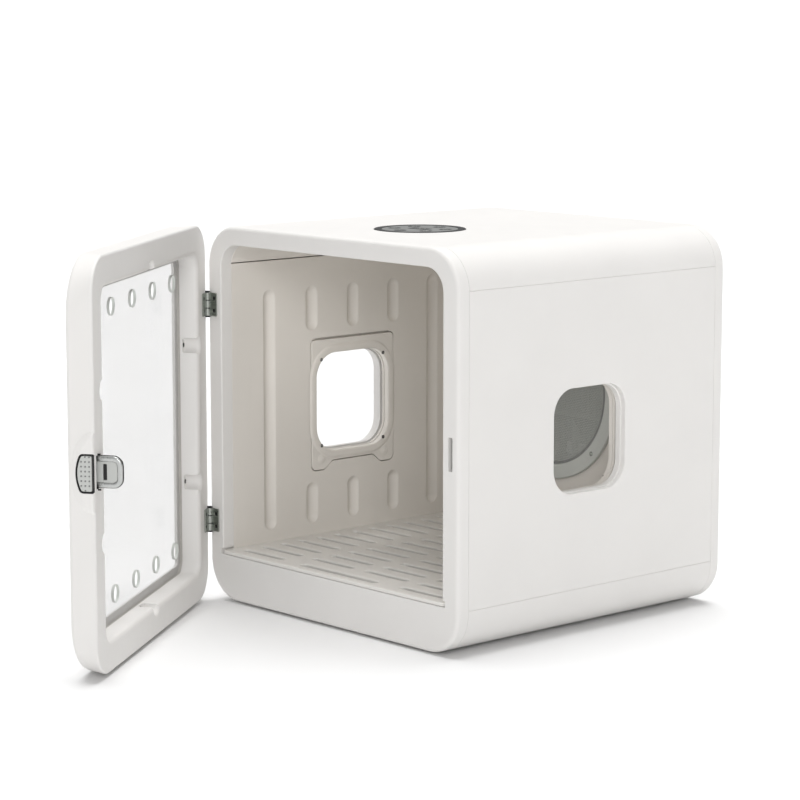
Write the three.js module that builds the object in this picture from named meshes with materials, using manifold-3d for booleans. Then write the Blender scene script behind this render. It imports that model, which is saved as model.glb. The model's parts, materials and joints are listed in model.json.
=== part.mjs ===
// A pet drying cabinet: a white moulded cabinet with a blower in its back, a slotted floor grate that
// pulls out, a clear window in each side and a hinged door with a clear pane and a sprung side latch.
// Units are millimetres, +Z is up. The origin is the middle of the flat underside of the base.
// X runs to the right seen from the front, and Y runs from the door to the back.
import * as THREE from "three";
import { mergeVertices } from "three/addons/utils/BufferGeometryUtils.js";
import Module from "manifold-3d";

const wasm = await Module();
wasm.setup();

// ---- driving dimensions ----
const WIDTH = 435;
const DEPTH = 430;
const HEIGHT = 450;
const CORNER_R = 48; // of the four long edges
const SKIN = 3; // wall of the outer mouldings
const GAP = 0.3; // between touching pieces
const ROUND = 5; // softened front and rear edges

const FRONT_Y = -DEPTH / 2;
const REAR_Y = DEPTH / 2;
const FRAME_DEPTH = 16;
const FRAME_FACE = 4;
const BODY_Y0 = FRONT_Y + FRAME_DEPTH + GAP / 2;
const BODY_Y1 = REAR_Y - FRAME_DEPTH - GAP / 2;
const TOP_SEAM_Z = 404;
const BASE_SEAM_Z = 51.5;

const CABIN_X = 192.4; // inner wall surface
const CABIN_TOP_Z = 427.8;
const CABIN_TOP_R = 27;
const CABIN_BACK_Y = 147.8;
const SILL_Z = 55.2;

const GRATE_X = 196;
const GRATE_TOP_Z = 59.5;
const GRATE_THICK = 4;
const GRATE_TRAVEL_CLEAR = 2.4; // under the inner wall's lower edge
const SLOT_LONG = 72.5;
const SLOT_WIDE = 8.5;
const SLOT_PITCH_X = 93;
const SLOT_PITCH_Y = 28.75;
const SLOT_FIRST_Y = -195;

const WINDOW_Y = [-67.5, 48];
const WINDOW_Z = [162.4, 282.8];
const WINDOW_R = 30;
const PANE = 3;

const OUTLET_Z = 242;
const OUTLET_R = 112;
const OUTLET_OPEN_R = 94;

const PANEL_Y = -72; // control panel in the top
const PANEL_R = 53.5;

const HINGE = { x: -215.5, y: -217.25, r: 4.9, long: 28, z: [355, 94.5] };
const DOOR_OPEN = THREE.MathUtils.degToRad(53.8); // how far the door stands open at rest
const DOOR_GAP = 4.5;
const DOOR_THICK = 30;
const DOOR_CORNER_SPREAD = 24; // how much rounder its outer corners are than its inner ones
const DOOR_LIFT = 1.5;
const DOOR_OPENING = { x: [-181.5, 183.5], z: [36, 417], r: 16 };
const PANE_DEPTH = 22.7; // behind the door's inner face
const LATCH_Z = 225.4;
const HOOK_X = 204.8;
const HOOK_REACH = 27;
const STRIKE = { x: [201.4, 208.2], z: [207, 244.8] };

// ---- materials ----
function material(color, roughness, metalness = 0, extra = {}) {
  return new THREE.MeshStandardMaterial({ color, roughness, metalness, ...extra });
}
const shellWhite = material(0xf1efea, 0.62);
const linerWhite = material(0xe4e0da, 0.6);
const grateWhite = material(0xe6e3dd, 0.55);
const clear = material(0xeaf0f0, 0.05, 0, { transparent: true, opacity: 0.3 });
const ventGrey = material(0xa9aca8, 0.5);
const panelDark = material(0x3d3f40, 0.3);
const panelGrey = material(0x96989a, 0.35);
const steel = material(0x8a8c88, 0.35, 1);
const chrome = material(0xc9cbca, 0.12, 1);
const latchGrey = material(0xb4b7b3, 0.45);
const black = material(0x1d1e1f, 0.6);
const rubber = material(0x2a2a2b, 0.85);
const board = material(0x2f6b45, 0.6);

// ---- solids: manifold-3d joins and cuts three.js geometry ----
function toSolid(geometry) {
  const plain = geometry.index ? geometry.clone() : geometry;
  plain.deleteAttribute("normal");
  plain.deleteAttribute("uv");
  const merged = mergeVertices(plain, 1e-4);
  const triVerts = new Uint32Array(merged.index.array);
  const vertProperties = new Float32Array(merged.attributes.position.array);
  return new wasm.Manifold(new wasm.Mesh({ numProp: 3, vertProperties, triVerts }));
}

function toGeometry(solid) {
  const mesh = solid.getMesh();
  const geometry = new THREE.BufferGeometry();
  geometry.setAttribute("position", new THREE.BufferAttribute(mesh.vertProperties, 3));
  geometry.setIndex(new THREE.BufferAttribute(mesh.triVerts, 1));
  return geometry;
}

// The first solid with the others joined to it, or cut from it.
const join = (first, ...others) => others.reduce((sum, s) => sum.add(s), first);
const cut = (first, ...others) => others.reduce((rest, s) => rest.subtract(s), first);

function box(x, y, z) {
  const geometry = new THREE.BoxGeometry(x[1] - x[0], y[1] - y[0], z[1] - z[0]);
  geometry.translate((x[0] + x[1]) / 2, (y[0] + y[1]) / 2, (z[0] + z[1]) / 2);
  return toSolid(geometry);
}

// A cylinder along "x", "y" or "z", between two stations on that axis, centred on the other two.
function rod(axis, span, at, radius, sides = 24, endRadius = radius) {
  const geometry = new THREE.CylinderGeometry(endRadius, radius, span[1] - span[0], sides);
  geometry.translate(0, (span[0] + span[1]) / 2, 0);
  if (axis === "x") geometry.rotateZ(-Math.PI / 2).translate(0, at[0], at[1]);
  if (axis === "y") geometry.translate(at[0], 0, at[1]);
  if (axis === "z") geometry.rotateX(Math.PI / 2).translate(at[0], at[1], 0);
  return toSolid(geometry);
}

// A rectangle with round corners, as a THREE.Shape in (u, v).
function roundRect(u, v, r) {
  const shape = new THREE.Shape();
  shape.moveTo(u[0] + r, v[0]);
  shape.lineTo(u[1] - r, v[0]);
  shape.absarc(u[1] - r, v[0] + r, r, -Math.PI / 2, 0);
  shape.lineTo(u[1], v[1] - r);
  shape.absarc(u[1] - r, v[1] - r, r, 0, Math.PI / 2);
  shape.lineTo(u[0] + r, v[1]);
  shape.absarc(u[0] + r, v[1] - r, r, Math.PI / 2, Math.PI);
  shape.lineTo(u[0], v[0] + r);
  shape.absarc(u[0] + r, v[0] + r, r, Math.PI, Math.PI * 1.5);
  return shape;
}

// A shape pushed along an axis: its (u, v) is (y, z) along x, (x, z) along y and (x, y) along z.
function prism(axis, shape, span, curveSegments = 4) {
  const depth = span[1] - span[0];
  const geometry = new THREE.ExtrudeGeometry(shape, { depth, curveSegments, bevelEnabled: false });
  const turn = new THREE.Matrix4();
  if (axis === "x") turn.set(0, 0, 1, span[0], 1, 0, 0, 0, 0, 1, 0, 0, 0, 0, 0, 1);
  if (axis === "y") turn.set(1, 0, 0, 0, 0, 0, -1, span[1], 0, 1, 0, 0, 0, 0, 0, 1);
  if (axis === "z") turn.makeTranslation(0, 0, span[0]);
  return toSolid(geometry.applyMatrix4(turn));
}

// The points of a round-cornered rectangle in the XZ plane at one y, the same number for every radius.
function ringPoints({ x, z, r, y }, steps) {
  const corners = [
    [x[1] - r, z[0] + r, -Math.PI / 2],
    [x[1] - r, z[1] - r, 0],
    [x[0] + r, z[1] - r, Math.PI / 2],
    [x[0] + r, z[0] + r, Math.PI],
  ];
  const points = [];
  for (const [cx, cz, start] of corners) {
    for (let i = 0; i <= steps; i++) {
      const a = start + (i / steps) * (Math.PI / 2);
      points.push(new THREE.Vector3(cx + r * Math.cos(a), y, cz + r * Math.sin(a)));
    }
  }
  return points;
}

// A solid skinned over a list of such rings. A closed list makes a frame; an open one gets flat ends.
function skin(rings, closed, steps = 8) {
  const loops = rings.map((ring) => ringPoints(ring, steps));
  const n = loops[0].length;
  const points = loops.flat();
  const triangles = [];
  const last = closed ? loops.length : loops.length - 1;
  for (let i = 0; i < last; i++) {
    const a = i * n;
    const b = ((i + 1) % loops.length) * n;
    for (let j = 0; j < n; j++) {
      const k = (j + 1) % n;
      triangles.push([a + j, b + j, b + k], [a + j, b + k, a + k]);
    }
  }
  if (!closed) {
    const end = (loops.length - 1) * n;
    for (let j = 1; j < n - 1; j++) triangles.push([0, j, j + 1], [end, end + j + 1, end + j]);
  }
  const geometry = new THREE.BufferGeometry().setFromPoints(points);
  geometry.setIndex(facingOut(points, triangles).flat());
  return toSolid(geometry);
}

// Triangles turned round where they enclose a negative volume.
function facingOut(points, triangles) {
  const cross = new THREE.Vector3();
  const volume = triangles.reduce(
    (sum, [a, b, c]) => sum + points[a].dot(cross.crossVectors(points[b], points[c])),
    0,
  );
  return volume > 0 ? triangles : triangles.map(([a, b, c]) => [a, c, b]);
}

// One ring of the cabinet's own outline, drawn in by an inset.
function outline(inset, y, lift = 0) {
  const x = [-WIDTH / 2 + inset, WIDTH / 2 - inset];
  const z = [inset + lift, HEIGHT - inset + lift];
  return { x, z, r: CORNER_R - inset, y };
}

// One ring of an opening, grown by an offset.
function opening({ x, z, r }, grow, y) {
  return { x: [x[0] - grow, x[1] + grow], z: [z[0] - grow, z[1] + grow], r: r + grow, y };
}

// Rings that round an edge off: the inset falls and y moves on by a quarter circle of radius r.
function roundedEdge(r, y, direction, makeRing, steps = 3) {
  return Array.from({ length: steps + 1 }, (_, i) => {
    const a = (i / steps) * (Math.PI / 2);
    return makeRing(r * (1 - Math.sin(a)), y + direction * r * (1 - Math.cos(a)));
  });
}

const model = new THREE.Group();

function place(name, solid, look, group = model) {
  const mesh = new THREE.Mesh(toGeometry(solid), look);
  mesh.name = name;
  group.add(mesh);
  return mesh;
}

// ---- outer casing ----
const CABIN = { x: [-CABIN_X, CABIN_X], z: [SILL_Z, CABIN_TOP_Z], r: CABIN_TOP_R };

// A front ring moulded as a channel that is open at its back.
function frontFrame() {
  const back = BODY_Y0 - GAP;
  const face = FRONT_Y + FRAME_FACE;
  const ring = skin(
    [
      outline(0, back),
      ...roundedEdge(ROUND, FRONT_Y, 1, (inset, y) => outline(inset, y), 3).reverse(),
      opening(CABIN, 1.5, FRONT_Y),
      opening(CABIN, 0, FRONT_Y + 1.5),
      opening(CABIN, 0, back),
      opening(CABIN, SKIN, back),
      opening(CABIN, SKIN, face),
      outline(SKIN, face),
      outline(SKIN, back),
    ],
    true,
    7,
  );
  const squareSill = box([-CABIN_X, CABIN_X], [FRONT_Y - 1, back + 1], [SILL_Z, SILL_Z + 40]);
  const mouthZ = [SILL_Z, SILL_Z + GRATE_THICK + GRATE_TRAVEL_CLEAR];
  const grateMouth = box([-GRATE_X - 0.7, GRATE_X + 0.7], [FRONT_Y - 1, back + 1], mouthZ);
  const boltSlot = box(STRIKE.x, [FRONT_Y - 1, back], STRIKE.z);
  const pilots = screwHeights.map((z) => rod("y", [FRONT_Y - 1, face + 1], [SCREW.x, z], SCREW.pilot, 8));
  return cut(ring, squareSill, grateMouth, boltSlot, ...hingeNotches(), ...pilots);
}

const SCREW = { x: -204.5, apart: 7.5, head: 2.2, headDeep: 1.1, shank: 1.2, pilot: 1.5, long: 4.4 };
const screwHeights = HINGE.z.flatMap((z) => [z + SCREW.apart, z - SCREW.apart]);

// The hinge barrels sink a little into the frame's front corner.
function hingeNotches() {
  return HINGE.z.map((z) => {
    const span = [z - HINGE.long / 2 - 1.8, z + HINGE.long / 2 + 1.8];
    return rod("z", span, [HINGE.x, HINGE.y], HINGE.r + 0.5, 16);
  });
}

// The grate's outline with its rounded front corners, as a solid between two heights.
function grateOutline(z) {
  const cornerR = 8;
  const shape = new THREE.Shape();
  const x = GRATE_X;
  const y0 = FRONT_Y;
  const y1 = CABIN_BACK_Y - 1.2;
  shape.moveTo(x, y1);
  shape.lineTo(-x, y1);
  shape.lineTo(-x, y0 + cornerR);
  shape.absarc(-x + cornerR, y0 + cornerR, cornerR, Math.PI, Math.PI * 1.5);
  shape.lineTo(x - cornerR, y0);
  shape.absarc(x - cornerR, y0 + cornerR, cornerR, -Math.PI / 2, 0);
  return prism("z", shape, z);
}

// The whole casing tube between the front and rear frames, three millimetres thick.
function casingTube() {
  const outer = skin([outline(0, BODY_Y0), outline(0, BODY_Y1)], false, 7);
  const inner = skin([outline(SKIN, BODY_Y0 - 1), outline(SKIN, BODY_Y1 + 1)], false, 7);
  return cut(outer, inner);
}

const everyX = [-WIDTH, WIDTH];
const everyY = [-DEPTH, DEPTH];

function topCover() {
  const upper = box(everyX, everyY, [TOP_SEAM_Z + GAP / 2, HEIGHT + 10]);
  const panelHole = rod("z", [HEIGHT - 20, HEIGHT + 5], [0, PANEL_Y], PANEL_R + GAP, 40);
  const panelWell = cut(
    rod("z", [HEIGHT - 12, HEIGHT - 1], [0, PANEL_Y], PANEL_R + 4, 40),
    rod("z", [HEIGHT - 20, HEIGHT + 5], [0, PANEL_Y], PANEL_R + GAP, 40),
  );
  return join(cut(casingTube().intersect(upper), panelHole), panelWell);
}

const FOOT = { r: 12, x: 150, y: 165, drop: 2.5 };
const footPlaces = [
  ["front_left_foot", -FOOT.x, -FOOT.y],
  ["front_right_foot", FOOT.x, -FOOT.y],
  ["rear_left_foot", -FOOT.x, FOOT.y],
  ["rear_right_foot", FOOT.x, FOOT.y],
];
const PAN_Z = 40;

function baseShell() {
  const lower = box(everyX, everyY, [-10, BASE_SEAM_Z - GAP / 2]);
  const shell = casingTube().intersect(lower);
  const bosses = footPlaces.map(([, x, y]) => rod("z", [0.2, 8], [x, y], FOOT.r + 4, 16));
  const pockets = footPlaces.map(([, x, y]) => rod("z", [-1, 3], [x, y], FOOT.r + GAP + 0.3, 16));
  const ribs = [-120, 0, 120].map((x) =>
    box([x - 1.5, x + 1.5], [BODY_Y0 + 6, 140], [SKIN - 1, PAN_Z - GAP]),
  );
  return cut(join(shell, ...bosses, ...ribs), ...pockets);
}

function foot(x, y) {
  return join(
    rod("z", [-FOOT.drop, -FOOT.drop + 1], [x, y], FOOT.r - 1, 16, FOOT.r),
    rod("z", [-FOOT.drop + 1, 2.6], [x, y], FOOT.r, 16),
  );
}

// A side wall's outer moulding: a tray 12 mm deep with a turned-in collar round its window.
function sidePanel(side) {
  const x = (inner, outer) => (side > 0 ? [inner, outer] : [-outer, -inner]);
  const half = WIDTH / 2;
  const rim = half - 12;
  const y = [BODY_Y0, BODY_Y1];
  const z = [BASE_SEAM_Z + GAP / 2, TOP_SEAM_Z - GAP / 2];
  const inY = [y[0] + SKIN, y[1] - SKIN];
  const inZ = [z[0] + SKIN, z[1] - SKIN];
  const tray = cut(box(x(rim, half), y, z), box(x(rim - 1, half - SKIN), inY, inZ));
  const collar = prism("x", windowShape(SKIN), x(rim, half));
  const hole = prism("x", windowShape(0), x(rim - 1, half + 1));
  const panel = cut(join(tray, collar), hole);
  if (side < 0) return panel;
  const hookNotch = box([rim - 1, 209], [BODY_Y0 - 1, BODY_Y0 + SKIN + 1], [STRIKE.z[0] - 4, STRIKE.z[1] + 4]);
  return cut(panel, hookNotch);
}

function windowShape(grow) {
  const y = [WINDOW_Y[0] - grow, WINDOW_Y[1] + grow];
  const z = [WINDOW_Z[0] - grow, WINDOW_Z[1] + grow];
  return roundRect(y, z, WINDOW_R + grow);
}

// ---- cabin lining ----
const LINER = 7;
const LINER_Z = [GRATE_TOP_Z + GRATE_TRAVEL_CLEAR, TOP_SEAM_Z - GAP / 2];
const GROOVE = { wide: 19, deep: 4.5, y: [-141.5, -74.7, -8, 58.8, 125.5] };
const LONG_GROOVE_Z = [74.5, 368];
const SHORT_GROOVES_Z = [
  [74.5, 125],
  [313.5, 368],
];

function sideLiner(side) {
  const x = (inner, outer) => (side > 0 ? [inner, outer] : [-outer, -inner]);
  const y = [BODY_Y0, CABIN_BACK_Y - GAP];
  const wall = box(x(CABIN_X, CABIN_X + LINER), y, LINER_Z);
  const skirt = box(x(GRATE_X + 1, CABIN_X + LINER), y, [BASE_SEAM_Z + GAP / 2, LINER_Z[0] + 1]);
  const hole = prism("x", windowShape(0), x(CABIN_X - 1, CABIN_X + LINER + 1));
  const grooves = GROOVE.y.flatMap((middle, i) => {
    const spans = i === 0 || i === GROOVE.y.length - 1 ? [LONG_GROOVE_Z] : SHORT_GROOVES_Z;
    const across = [middle - GROOVE.wide / 2, middle + GROOVE.wide / 2];
    return spans.map((span) =>
      prism("x", roundRect(across, span, GROOVE.wide / 2 - 0.1), x(CABIN_X - 1, CABIN_X + GROOVE.deep), 2),
    );
  });
  return cut(join(wall, skirt), hole, ...grooves);
}

// The lining above the side seams: two short walls and the ceiling in one bent sheet.
function upperLiner() {
  const y = [BODY_Y0, CABIN_BACK_Y - GAP];
  const ring = (grow, at) => opening(CABIN, grow, at);
  const outer = skin([ring(2.5, y[0]), ring(2.5, y[1])], false, 7);
  const inner = skin([ring(0, y[0] - 1), ring(0, y[1] + 1)], false, 7);
  return cut(outer, inner).intersect(box(everyX, everyY, [TOP_SEAM_Z + GAP / 2, HEIGHT]));
}

const windowPane = (side) => {
  const near = CABIN_X + LINER + 0.8;
  const span = side > 0 ? [near, near + PANE] : [-near - PANE, -near];
  return prism("x", windowShape(8), span);
};

// The plate round a window inside the cabin, with two lobes below for its lower screws.
function windowTrim(side) {
  const x = (out, far) => (side > 0 ? [CABIN_X - far, CABIN_X - out] : [out - CABIN_X, far - CABIN_X]);
  const plate = prism("x", roundRect([-75.5, 58], [149.5, 300.5], 5), x(GAP, 3), 2);
  const lobes = [
    [-75.5, -47],
    [29.5, 58],
  ].map((y) => prism("x", roundRect(y, [139.2, 170], 7), x(GAP, 3), 2));
  const lip = prism("x", windowShape(4.5), x(GAP, 4.6));
  const hole = prism("x", windowShape(0.6), x(-1, 6));
  return cut(join(plate, ...lobes, lip), hole);
}

// The pan under the grate catches hair and drips.
function dripPan() {
  const y = [BODY_Y0 + 0.5, CABIN_BACK_Y - 2];
  const outer = box([-GRATE_X + 1, GRATE_X - 1], y, [PAN_Z, SILL_Z - GAP]);
  const hollow = box([-GRATE_X + 4, GRATE_X - 4], [y[0] + 3, y[1] - 3], [PAN_Z + 2.5, SILL_Z + 5]);
  return cut(outer, hollow);
}

// ---- floor grate ----
function floorGrate() {
  const z = [SILL_Z + GAP, GRATE_TOP_Z];
  const plate = grateOutline(z);
  const through = [z[0] - 1, z[1] + 1];
  const slot = (x, y, long, wide) => {
    const [end, shoulder, side] = [long / 2, long / 2 - wide / 2, wide / 2];
    const corners = [
      [-end, 0],
      [-shoulder, -side],
      [shoulder, -side],
      [end, 0],
      [shoulder, side],
      [-shoulder, side],
    ].map(([u, v]) => new THREE.Vector2(x + u, y + v));
    return prism("z", new THREE.Shape(corners), through);
  };
  const slots = [slot(0, SLOT_FIRST_Y - 3, 133, SLOT_WIDE + 1)];
  const rows = 12;
  for (let row = 0; row < rows; row++) {
    for (const column of [-1.5, -0.5, 0.5, 1.5]) {
      const underFingerSlot = row === 0 && Math.abs(column) < 1;
      if (underFingerSlot) continue;
      slots.push(slot(column * SLOT_PITCH_X, SLOT_FIRST_Y + row * SLOT_PITCH_Y, SLOT_LONG, SLOT_WIDE));
    }
  }
  return cut(plate, ...slots);
}

// ---- blower behind the cabin's back wall ----
const BACK_WALL = [CABIN_BACK_Y, CABIN_BACK_Y + 2.5];
const OUTLET = [0, OUTLET_Z];

function innerBackWall() {
  const x = [-CABIN_X - LINER, CABIN_X + LINER];
  const wall = skin(
    BACK_WALL.map((y) => ({ x, z: [BASE_SEAM_Z + 0.5, CABIN_TOP_Z + 2.5], r: 10, y })),
    false,
  );
  const hole = rod("y", [BACK_WALL[0] - 1, BACK_WALL[1] + 1], OUTLET, OUTLET_OPEN_R - 2, 40);
  return cut(wall, hole);
}

function outletRing() {
  const y = [CABIN_BACK_Y - 5.3, CABIN_BACK_Y - GAP];
  const face = rod("y", [y[0] + 1.5, y[1]], OUTLET, OUTLET_R, 40);
  const chamfer = rod("y", [y[0], y[0] + 1.5], OUTLET, OUTLET_R - 1.5, 40, OUTLET_R);
  const hole = rod("y", [y[0] - 1, y[1] + 1], OUTLET, OUTLET_OPEN_R, 40);
  const rebate = rod("y", [y[1] - 1.8, y[1] + 1], OUTLET, OUTLET_OPEN_R + 3, 40);
  return cut(join(face, chamfer), hole, rebate);
}

function outletMesh() {
  const y = [CABIN_BACK_Y - 1.7, CABIN_BACK_Y - 0.7];
  const disc = rod("y", y, OUTLET, OUTLET_OPEN_R + 2.6, 40);
  const pitch = 26;
  const half = 10;
  const holes = [];
  for (let i = -3; i <= 3; i++) {
    for (let j = -3; j <= 3; j++) {
      const [x, z] = [i * pitch, OUTLET_Z + j * pitch];
      if (Math.hypot(i, j) * pitch + half * 1.45 > OUTLET_OPEN_R - 4) continue;
      holes.push(box([x - half, x + half], [y[0] - 1, y[1] + 1], [z - half, z + half]));
    }
  }
  return cut(disc, ...holes);
}

const SHROUD_R = 92;
const FAN_Y = [168, 181];

function blowerShroud() {
  const y = [BACK_WALL[1] + GAP, 199];
  const tube = rod("y", y, OUTLET, SHROUD_R + 3, 32);
  const flange = rod("y", [y[0], y[0] + 3], OUTLET, OUTLET_OPEN_R + 10, 32);
  return cut(join(tube, flange), rod("y", [y[0] - 1, y[1] + 1], OUTLET, SHROUD_R, 32));
}

// The heater: a finned block with its end ears against the shroud.
function heater() {
  const y = [155, 163];
  const block = box([-70, 70], y, [OUTLET_Z - 34, OUTLET_Z + 34]);
  const gaps = [];
  for (let i = -6; i <= 6; i++) {
    gaps.push(box([i * 10 - 3.8, i * 10 + 3.8], [y[0] - 1, y[1] + 1], [OUTLET_Z - 28, OUTLET_Z + 28]));
  }
  const ears = box([-90.5, 90.5], [y[0] + 2, y[1] - 2], [OUTLET_Z - 8, OUTLET_Z + 8]);
  return join(cut(block, ...gaps), ears.subtract(box([-69, 69], y, [OUTLET_Z - 9, OUTLET_Z + 9])));
}

function impeller() {
  const hub = rod("y", FAN_Y, OUTLET, 27, 28);
  const bore = rod("y", [FAN_Y[0] - 1, FAN_Y[1] + 1], OUTLET, 3.4, 16);
  const blades = [];
  const count = 7;
  for (let i = 0; i < count; i++) {
    const blade = new THREE.BoxGeometry(60, 1.8, 26, 2, 1, 1);
    twistBlade(blade);
    blade.rotateY((i / count) * Math.PI * 2);
    blade.translate(0, (FAN_Y[0] + FAN_Y[1]) / 2, OUTLET_Z);
    blades.push(toSolid(blade));
  }
  return cut(join(hub, ...blades), bore);
}

// A flat blade moved out from the hub, pitched, with less pitch towards its tip.
function twistBlade(geometry) {
  const reach = 57;
  geometry.translate(reach - 3, 0, 0);
  const position = geometry.attributes.position;
  for (let i = 0; i < position.count; i++) {
    const [x, y, z] = [position.getX(i), position.getY(i), position.getZ(i)];
    const pitch = THREE.MathUtils.degToRad(24 - 0.15 * (x - reach));
    const spread = 1 + 0.004 * (x - reach);
    const turned = [y * Math.cos(pitch) + z * Math.sin(pitch), z * Math.cos(pitch) - y * Math.sin(pitch)];
    position.setXYZ(i, x, turned[0], turned[1] * spread);
  }
}

const MOTOR_Y = [183, 199];

function fanMotor() {
  const can = rod("y", MOTOR_Y, OUTLET, 25, 28);
  return cut(can, rod("y", [MOTOR_Y[0] - 1, 192], OUTLET, 3.8, 16));
}

const fanShaft = () => rod("y", [166, 191], OUTLET, 3, 16);

function motorMount() {
  const y = [188, 192];
  const parts = [rod("y", y, OUTLET, 30, 28)];
  for (let i = 0; i < 3; i++) {
    const arm = new THREE.BoxGeometry(64, y[1] - y[0], 8);
    arm.translate(59, 0, 0).rotateY(Math.PI / 2 + (i / 3) * Math.PI * 2);
    arm.translate(0, (y[0] + y[1]) / 2, OUTLET_Z);
    parts.push(toSolid(arm));
  }
  return cut(join(...parts), rod("y", [y[0] - 1, y[1] + 1], OUTLET, 25 + GAP, 28));
}

// ---- rear cover, intake and power ----
const INTAKE = { x: [-80, 80], z: [OUTLET_Z - 80, OUTLET_Z + 80], r: 14 };
const INLET = { x: [-160, -132], z: [82, 102] };

function rearCover() {
  const front = BODY_Y1 + GAP;
  const shell = skin(
    [
      outline(SKIN, REAR_Y - SKIN),
      outline(SKIN, front),
      outline(0, front),
      ...roundedEdge(ROUND, REAR_Y, -1, (inset, y) => outline(inset, y), 3).reverse(),
    ],
    false,
    7,
  );
  const hole = skin([opening(INTAKE, 0, REAR_Y - 9), opening(INTAKE, 0, REAR_Y + 1)], false, 5);
  const collar = skin([opening(INTAKE, SKIN, front + 3), opening(INTAKE, SKIN, REAR_Y - 1)], false, 5);
  const bore = skin([opening(INTAKE, 0, front), opening(INTAKE, 0, REAR_Y + 1)], false, 5);
  const inletHole = box(INLET.x, [front, REAR_Y + 1], INLET.z);
  return cut(join(cut(shell, hole), collar), bore, inletHole);
}

// The removable intake cover: a louvred plate with a rim that carries the filter.
function filterCover() {
  const plate = skin(
    [
      opening(INTAKE, -GAP - 0.1, REAR_Y - 3),
      opening(INTAKE, -GAP - 0.1, REAR_Y - 0.6),
      opening(INTAKE, -1.4, REAR_Y + 0.4),
    ],
    false,
    5,
  );
  const rim = cut(
    skin([opening(INTAKE, -0.5, REAR_Y - 10), opening(INTAKE, -0.5, REAR_Y - 2)], false, 5),
    skin([opening(INTAKE, -2.5, REAR_Y - 11), opening(INTAKE, -2.5, REAR_Y + 1)], false, 5),
  );
  const louvres = [];
  for (let i = -5; i <= 5; i++) {
    const z = OUTLET_Z + i * 12;
    for (const x of [-34, 34]) {
      louvres.push(box([x - 29, x + 29], [REAR_Y - 4, REAR_Y + 2], [z - 2.6, z + 2.6]));
    }
  }
  return cut(join(plate, rim), ...louvres);
}

const filterPad = () =>
  skin([opening(INTAKE, -3, REAR_Y - 9.5), opening(INTAKE, -3, REAR_Y - 3.4)], false, 4);

function powerInlet() {
  const [x, z] = [INLET.x, INLET.z];
  const inset = (pair, d) => [pair[0] + d, pair[1] - d];
  const body = box(inset(x, GAP), [REAR_Y - 26, REAR_Y - 0.5], inset(z, GAP));
  const flange = box(inset(x, -3), [REAR_Y + GAP, REAR_Y + 2], inset(z, -3));
  const neck = box(inset(x, GAP), [REAR_Y - 1, REAR_Y + 1], inset(z, GAP));
  const socket = box(inset(x, 3), [REAR_Y - 16, REAR_Y + 5], inset(z, 3));
  const middle = (pair) => (pair[0] + pair[1]) / 2;
  const pins = [-6.5, 0, 6.5].map((d, i) => {
    const px = middle(x) + d;
    const pz = middle(z) + (i === 1 ? 2 : -2);
    return box([px - 1, px + 1], [REAR_Y - 17, REAR_Y - 3], [pz - 2, pz + 2]);
  });
  return join(cut(join(body, flange, neck), socket), ...pins);
}

// ---- control panel in the top ----
function panelBezel() {
  const z = [HEIGHT - 6, HEIGHT + 0.5];
  const ring = rod("z", [z[0], z[1] - 0.6], [0, PANEL_Y], PANEL_R, 40);
  const chamfer = rod("z", [z[1] - 0.6, z[1]], [0, PANEL_Y], PANEL_R, 40, PANEL_R - 0.6);
  const hole = rod("z", [z[0] - 1, z[1] + 1], [0, PANEL_Y], 45, 40);
  return cut(join(ring, chamfer), hole);
}

const touchPanel = () => rod("z", [HEIGHT - 5, HEIGHT + 0.2], [0, PANEL_Y], 45 - GAP, 40);

function controlBoard() {
  const plate = rod("z", [HEIGHT - 9, HEIGHT - 7.4], [0, PANEL_Y], 46, 32);
  const chips = [
    box([-12, 4], [PANEL_Y - 8, PANEL_Y + 8], [HEIGHT - 11, HEIGHT - 8]),
    box([14, 30], [PANEL_Y - 4, PANEL_Y + 12], [HEIGHT - 14, HEIGHT - 8]),
  ];
  return join(plate, ...chips);
}

// ---- hinges ----
const LEAF = 1.5;
const KNUCKLE = HINGE.long / 3;

// The knuckles on the pin's axis that belong to one leaf, and the web that reaches from them to it.
function hingeLeaf(z, face, knuckles) {
  const leafX = [-212, -199.5];
  const y = face === "cabinet" ? [FRONT_Y - LEAF - 0.1, FRONT_Y - 0.1] : doorLeafY;
  const plate = box(leafX, y, [z - HINGE.long / 2, z + HINGE.long / 2]);
  const spans = knuckles.map((k) => {
    const low = z - HINGE.long / 2 + k * KNUCKLE;
    return [low + GAP / 2, low + KNUCKLE - GAP / 2];
  });
  const barrels = spans.map((span) => rod("z", span, [HINGE.x, HINGE.y], HINGE.r - 0.4, 16));
  const webs = spans.map((span) => box([HINGE.x + 2.5, leafX[0] + 1], y, span));
  const bore = rod("z", [z - 20, z + 20], [HINGE.x, HINGE.y], 1.9, 10);
  const holes = [-SCREW.apart, SCREW.apart].map((d) =>
    rod("y", [y[0] - 1, y[1] + 1], [SCREW.x, z + d], SCREW.head + GAP, 12),
  );
  const neighbour = [0, 1, 2].filter((k) => !knuckles.includes(k)).map((k) => {
    const low = z - HINGE.long / 2 + k * KNUCKLE;
    return rod("z", [low - GAP / 2, low + KNUCKLE + GAP / 2], [HINGE.x, HINGE.y], HINGE.r + 0.3, 16);
  });
  return cut(join(plate, ...barrels, ...webs), bore, ...holes, ...neighbour);
}

const DOOR_IN_Y = FRONT_Y - DOOR_GAP; // the door's inner face when closed
const DOOR_OUT_Y = DOOR_IN_Y - DOOR_THICK;
const doorLeafY = [DOOR_IN_Y + 0.1, DOOR_IN_Y + 0.1 + LEAF];

function hingePin(z) {
  const ends = [z - HINGE.long / 2 - 0.9, z + HINGE.long / 2 + 0.9];
  const shaft = rod("z", ends, [HINGE.x, HINGE.y], 1.6, 10);
  const heads = ends.map((end, i) => {
    const span = i ? [end - 0.7, end + 0.5] : [end - 0.5, end + 0.7];
    return rod("z", span, [HINGE.x, HINGE.y], 3, 12);
  });
  return join(shaft, ...heads);
}

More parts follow.
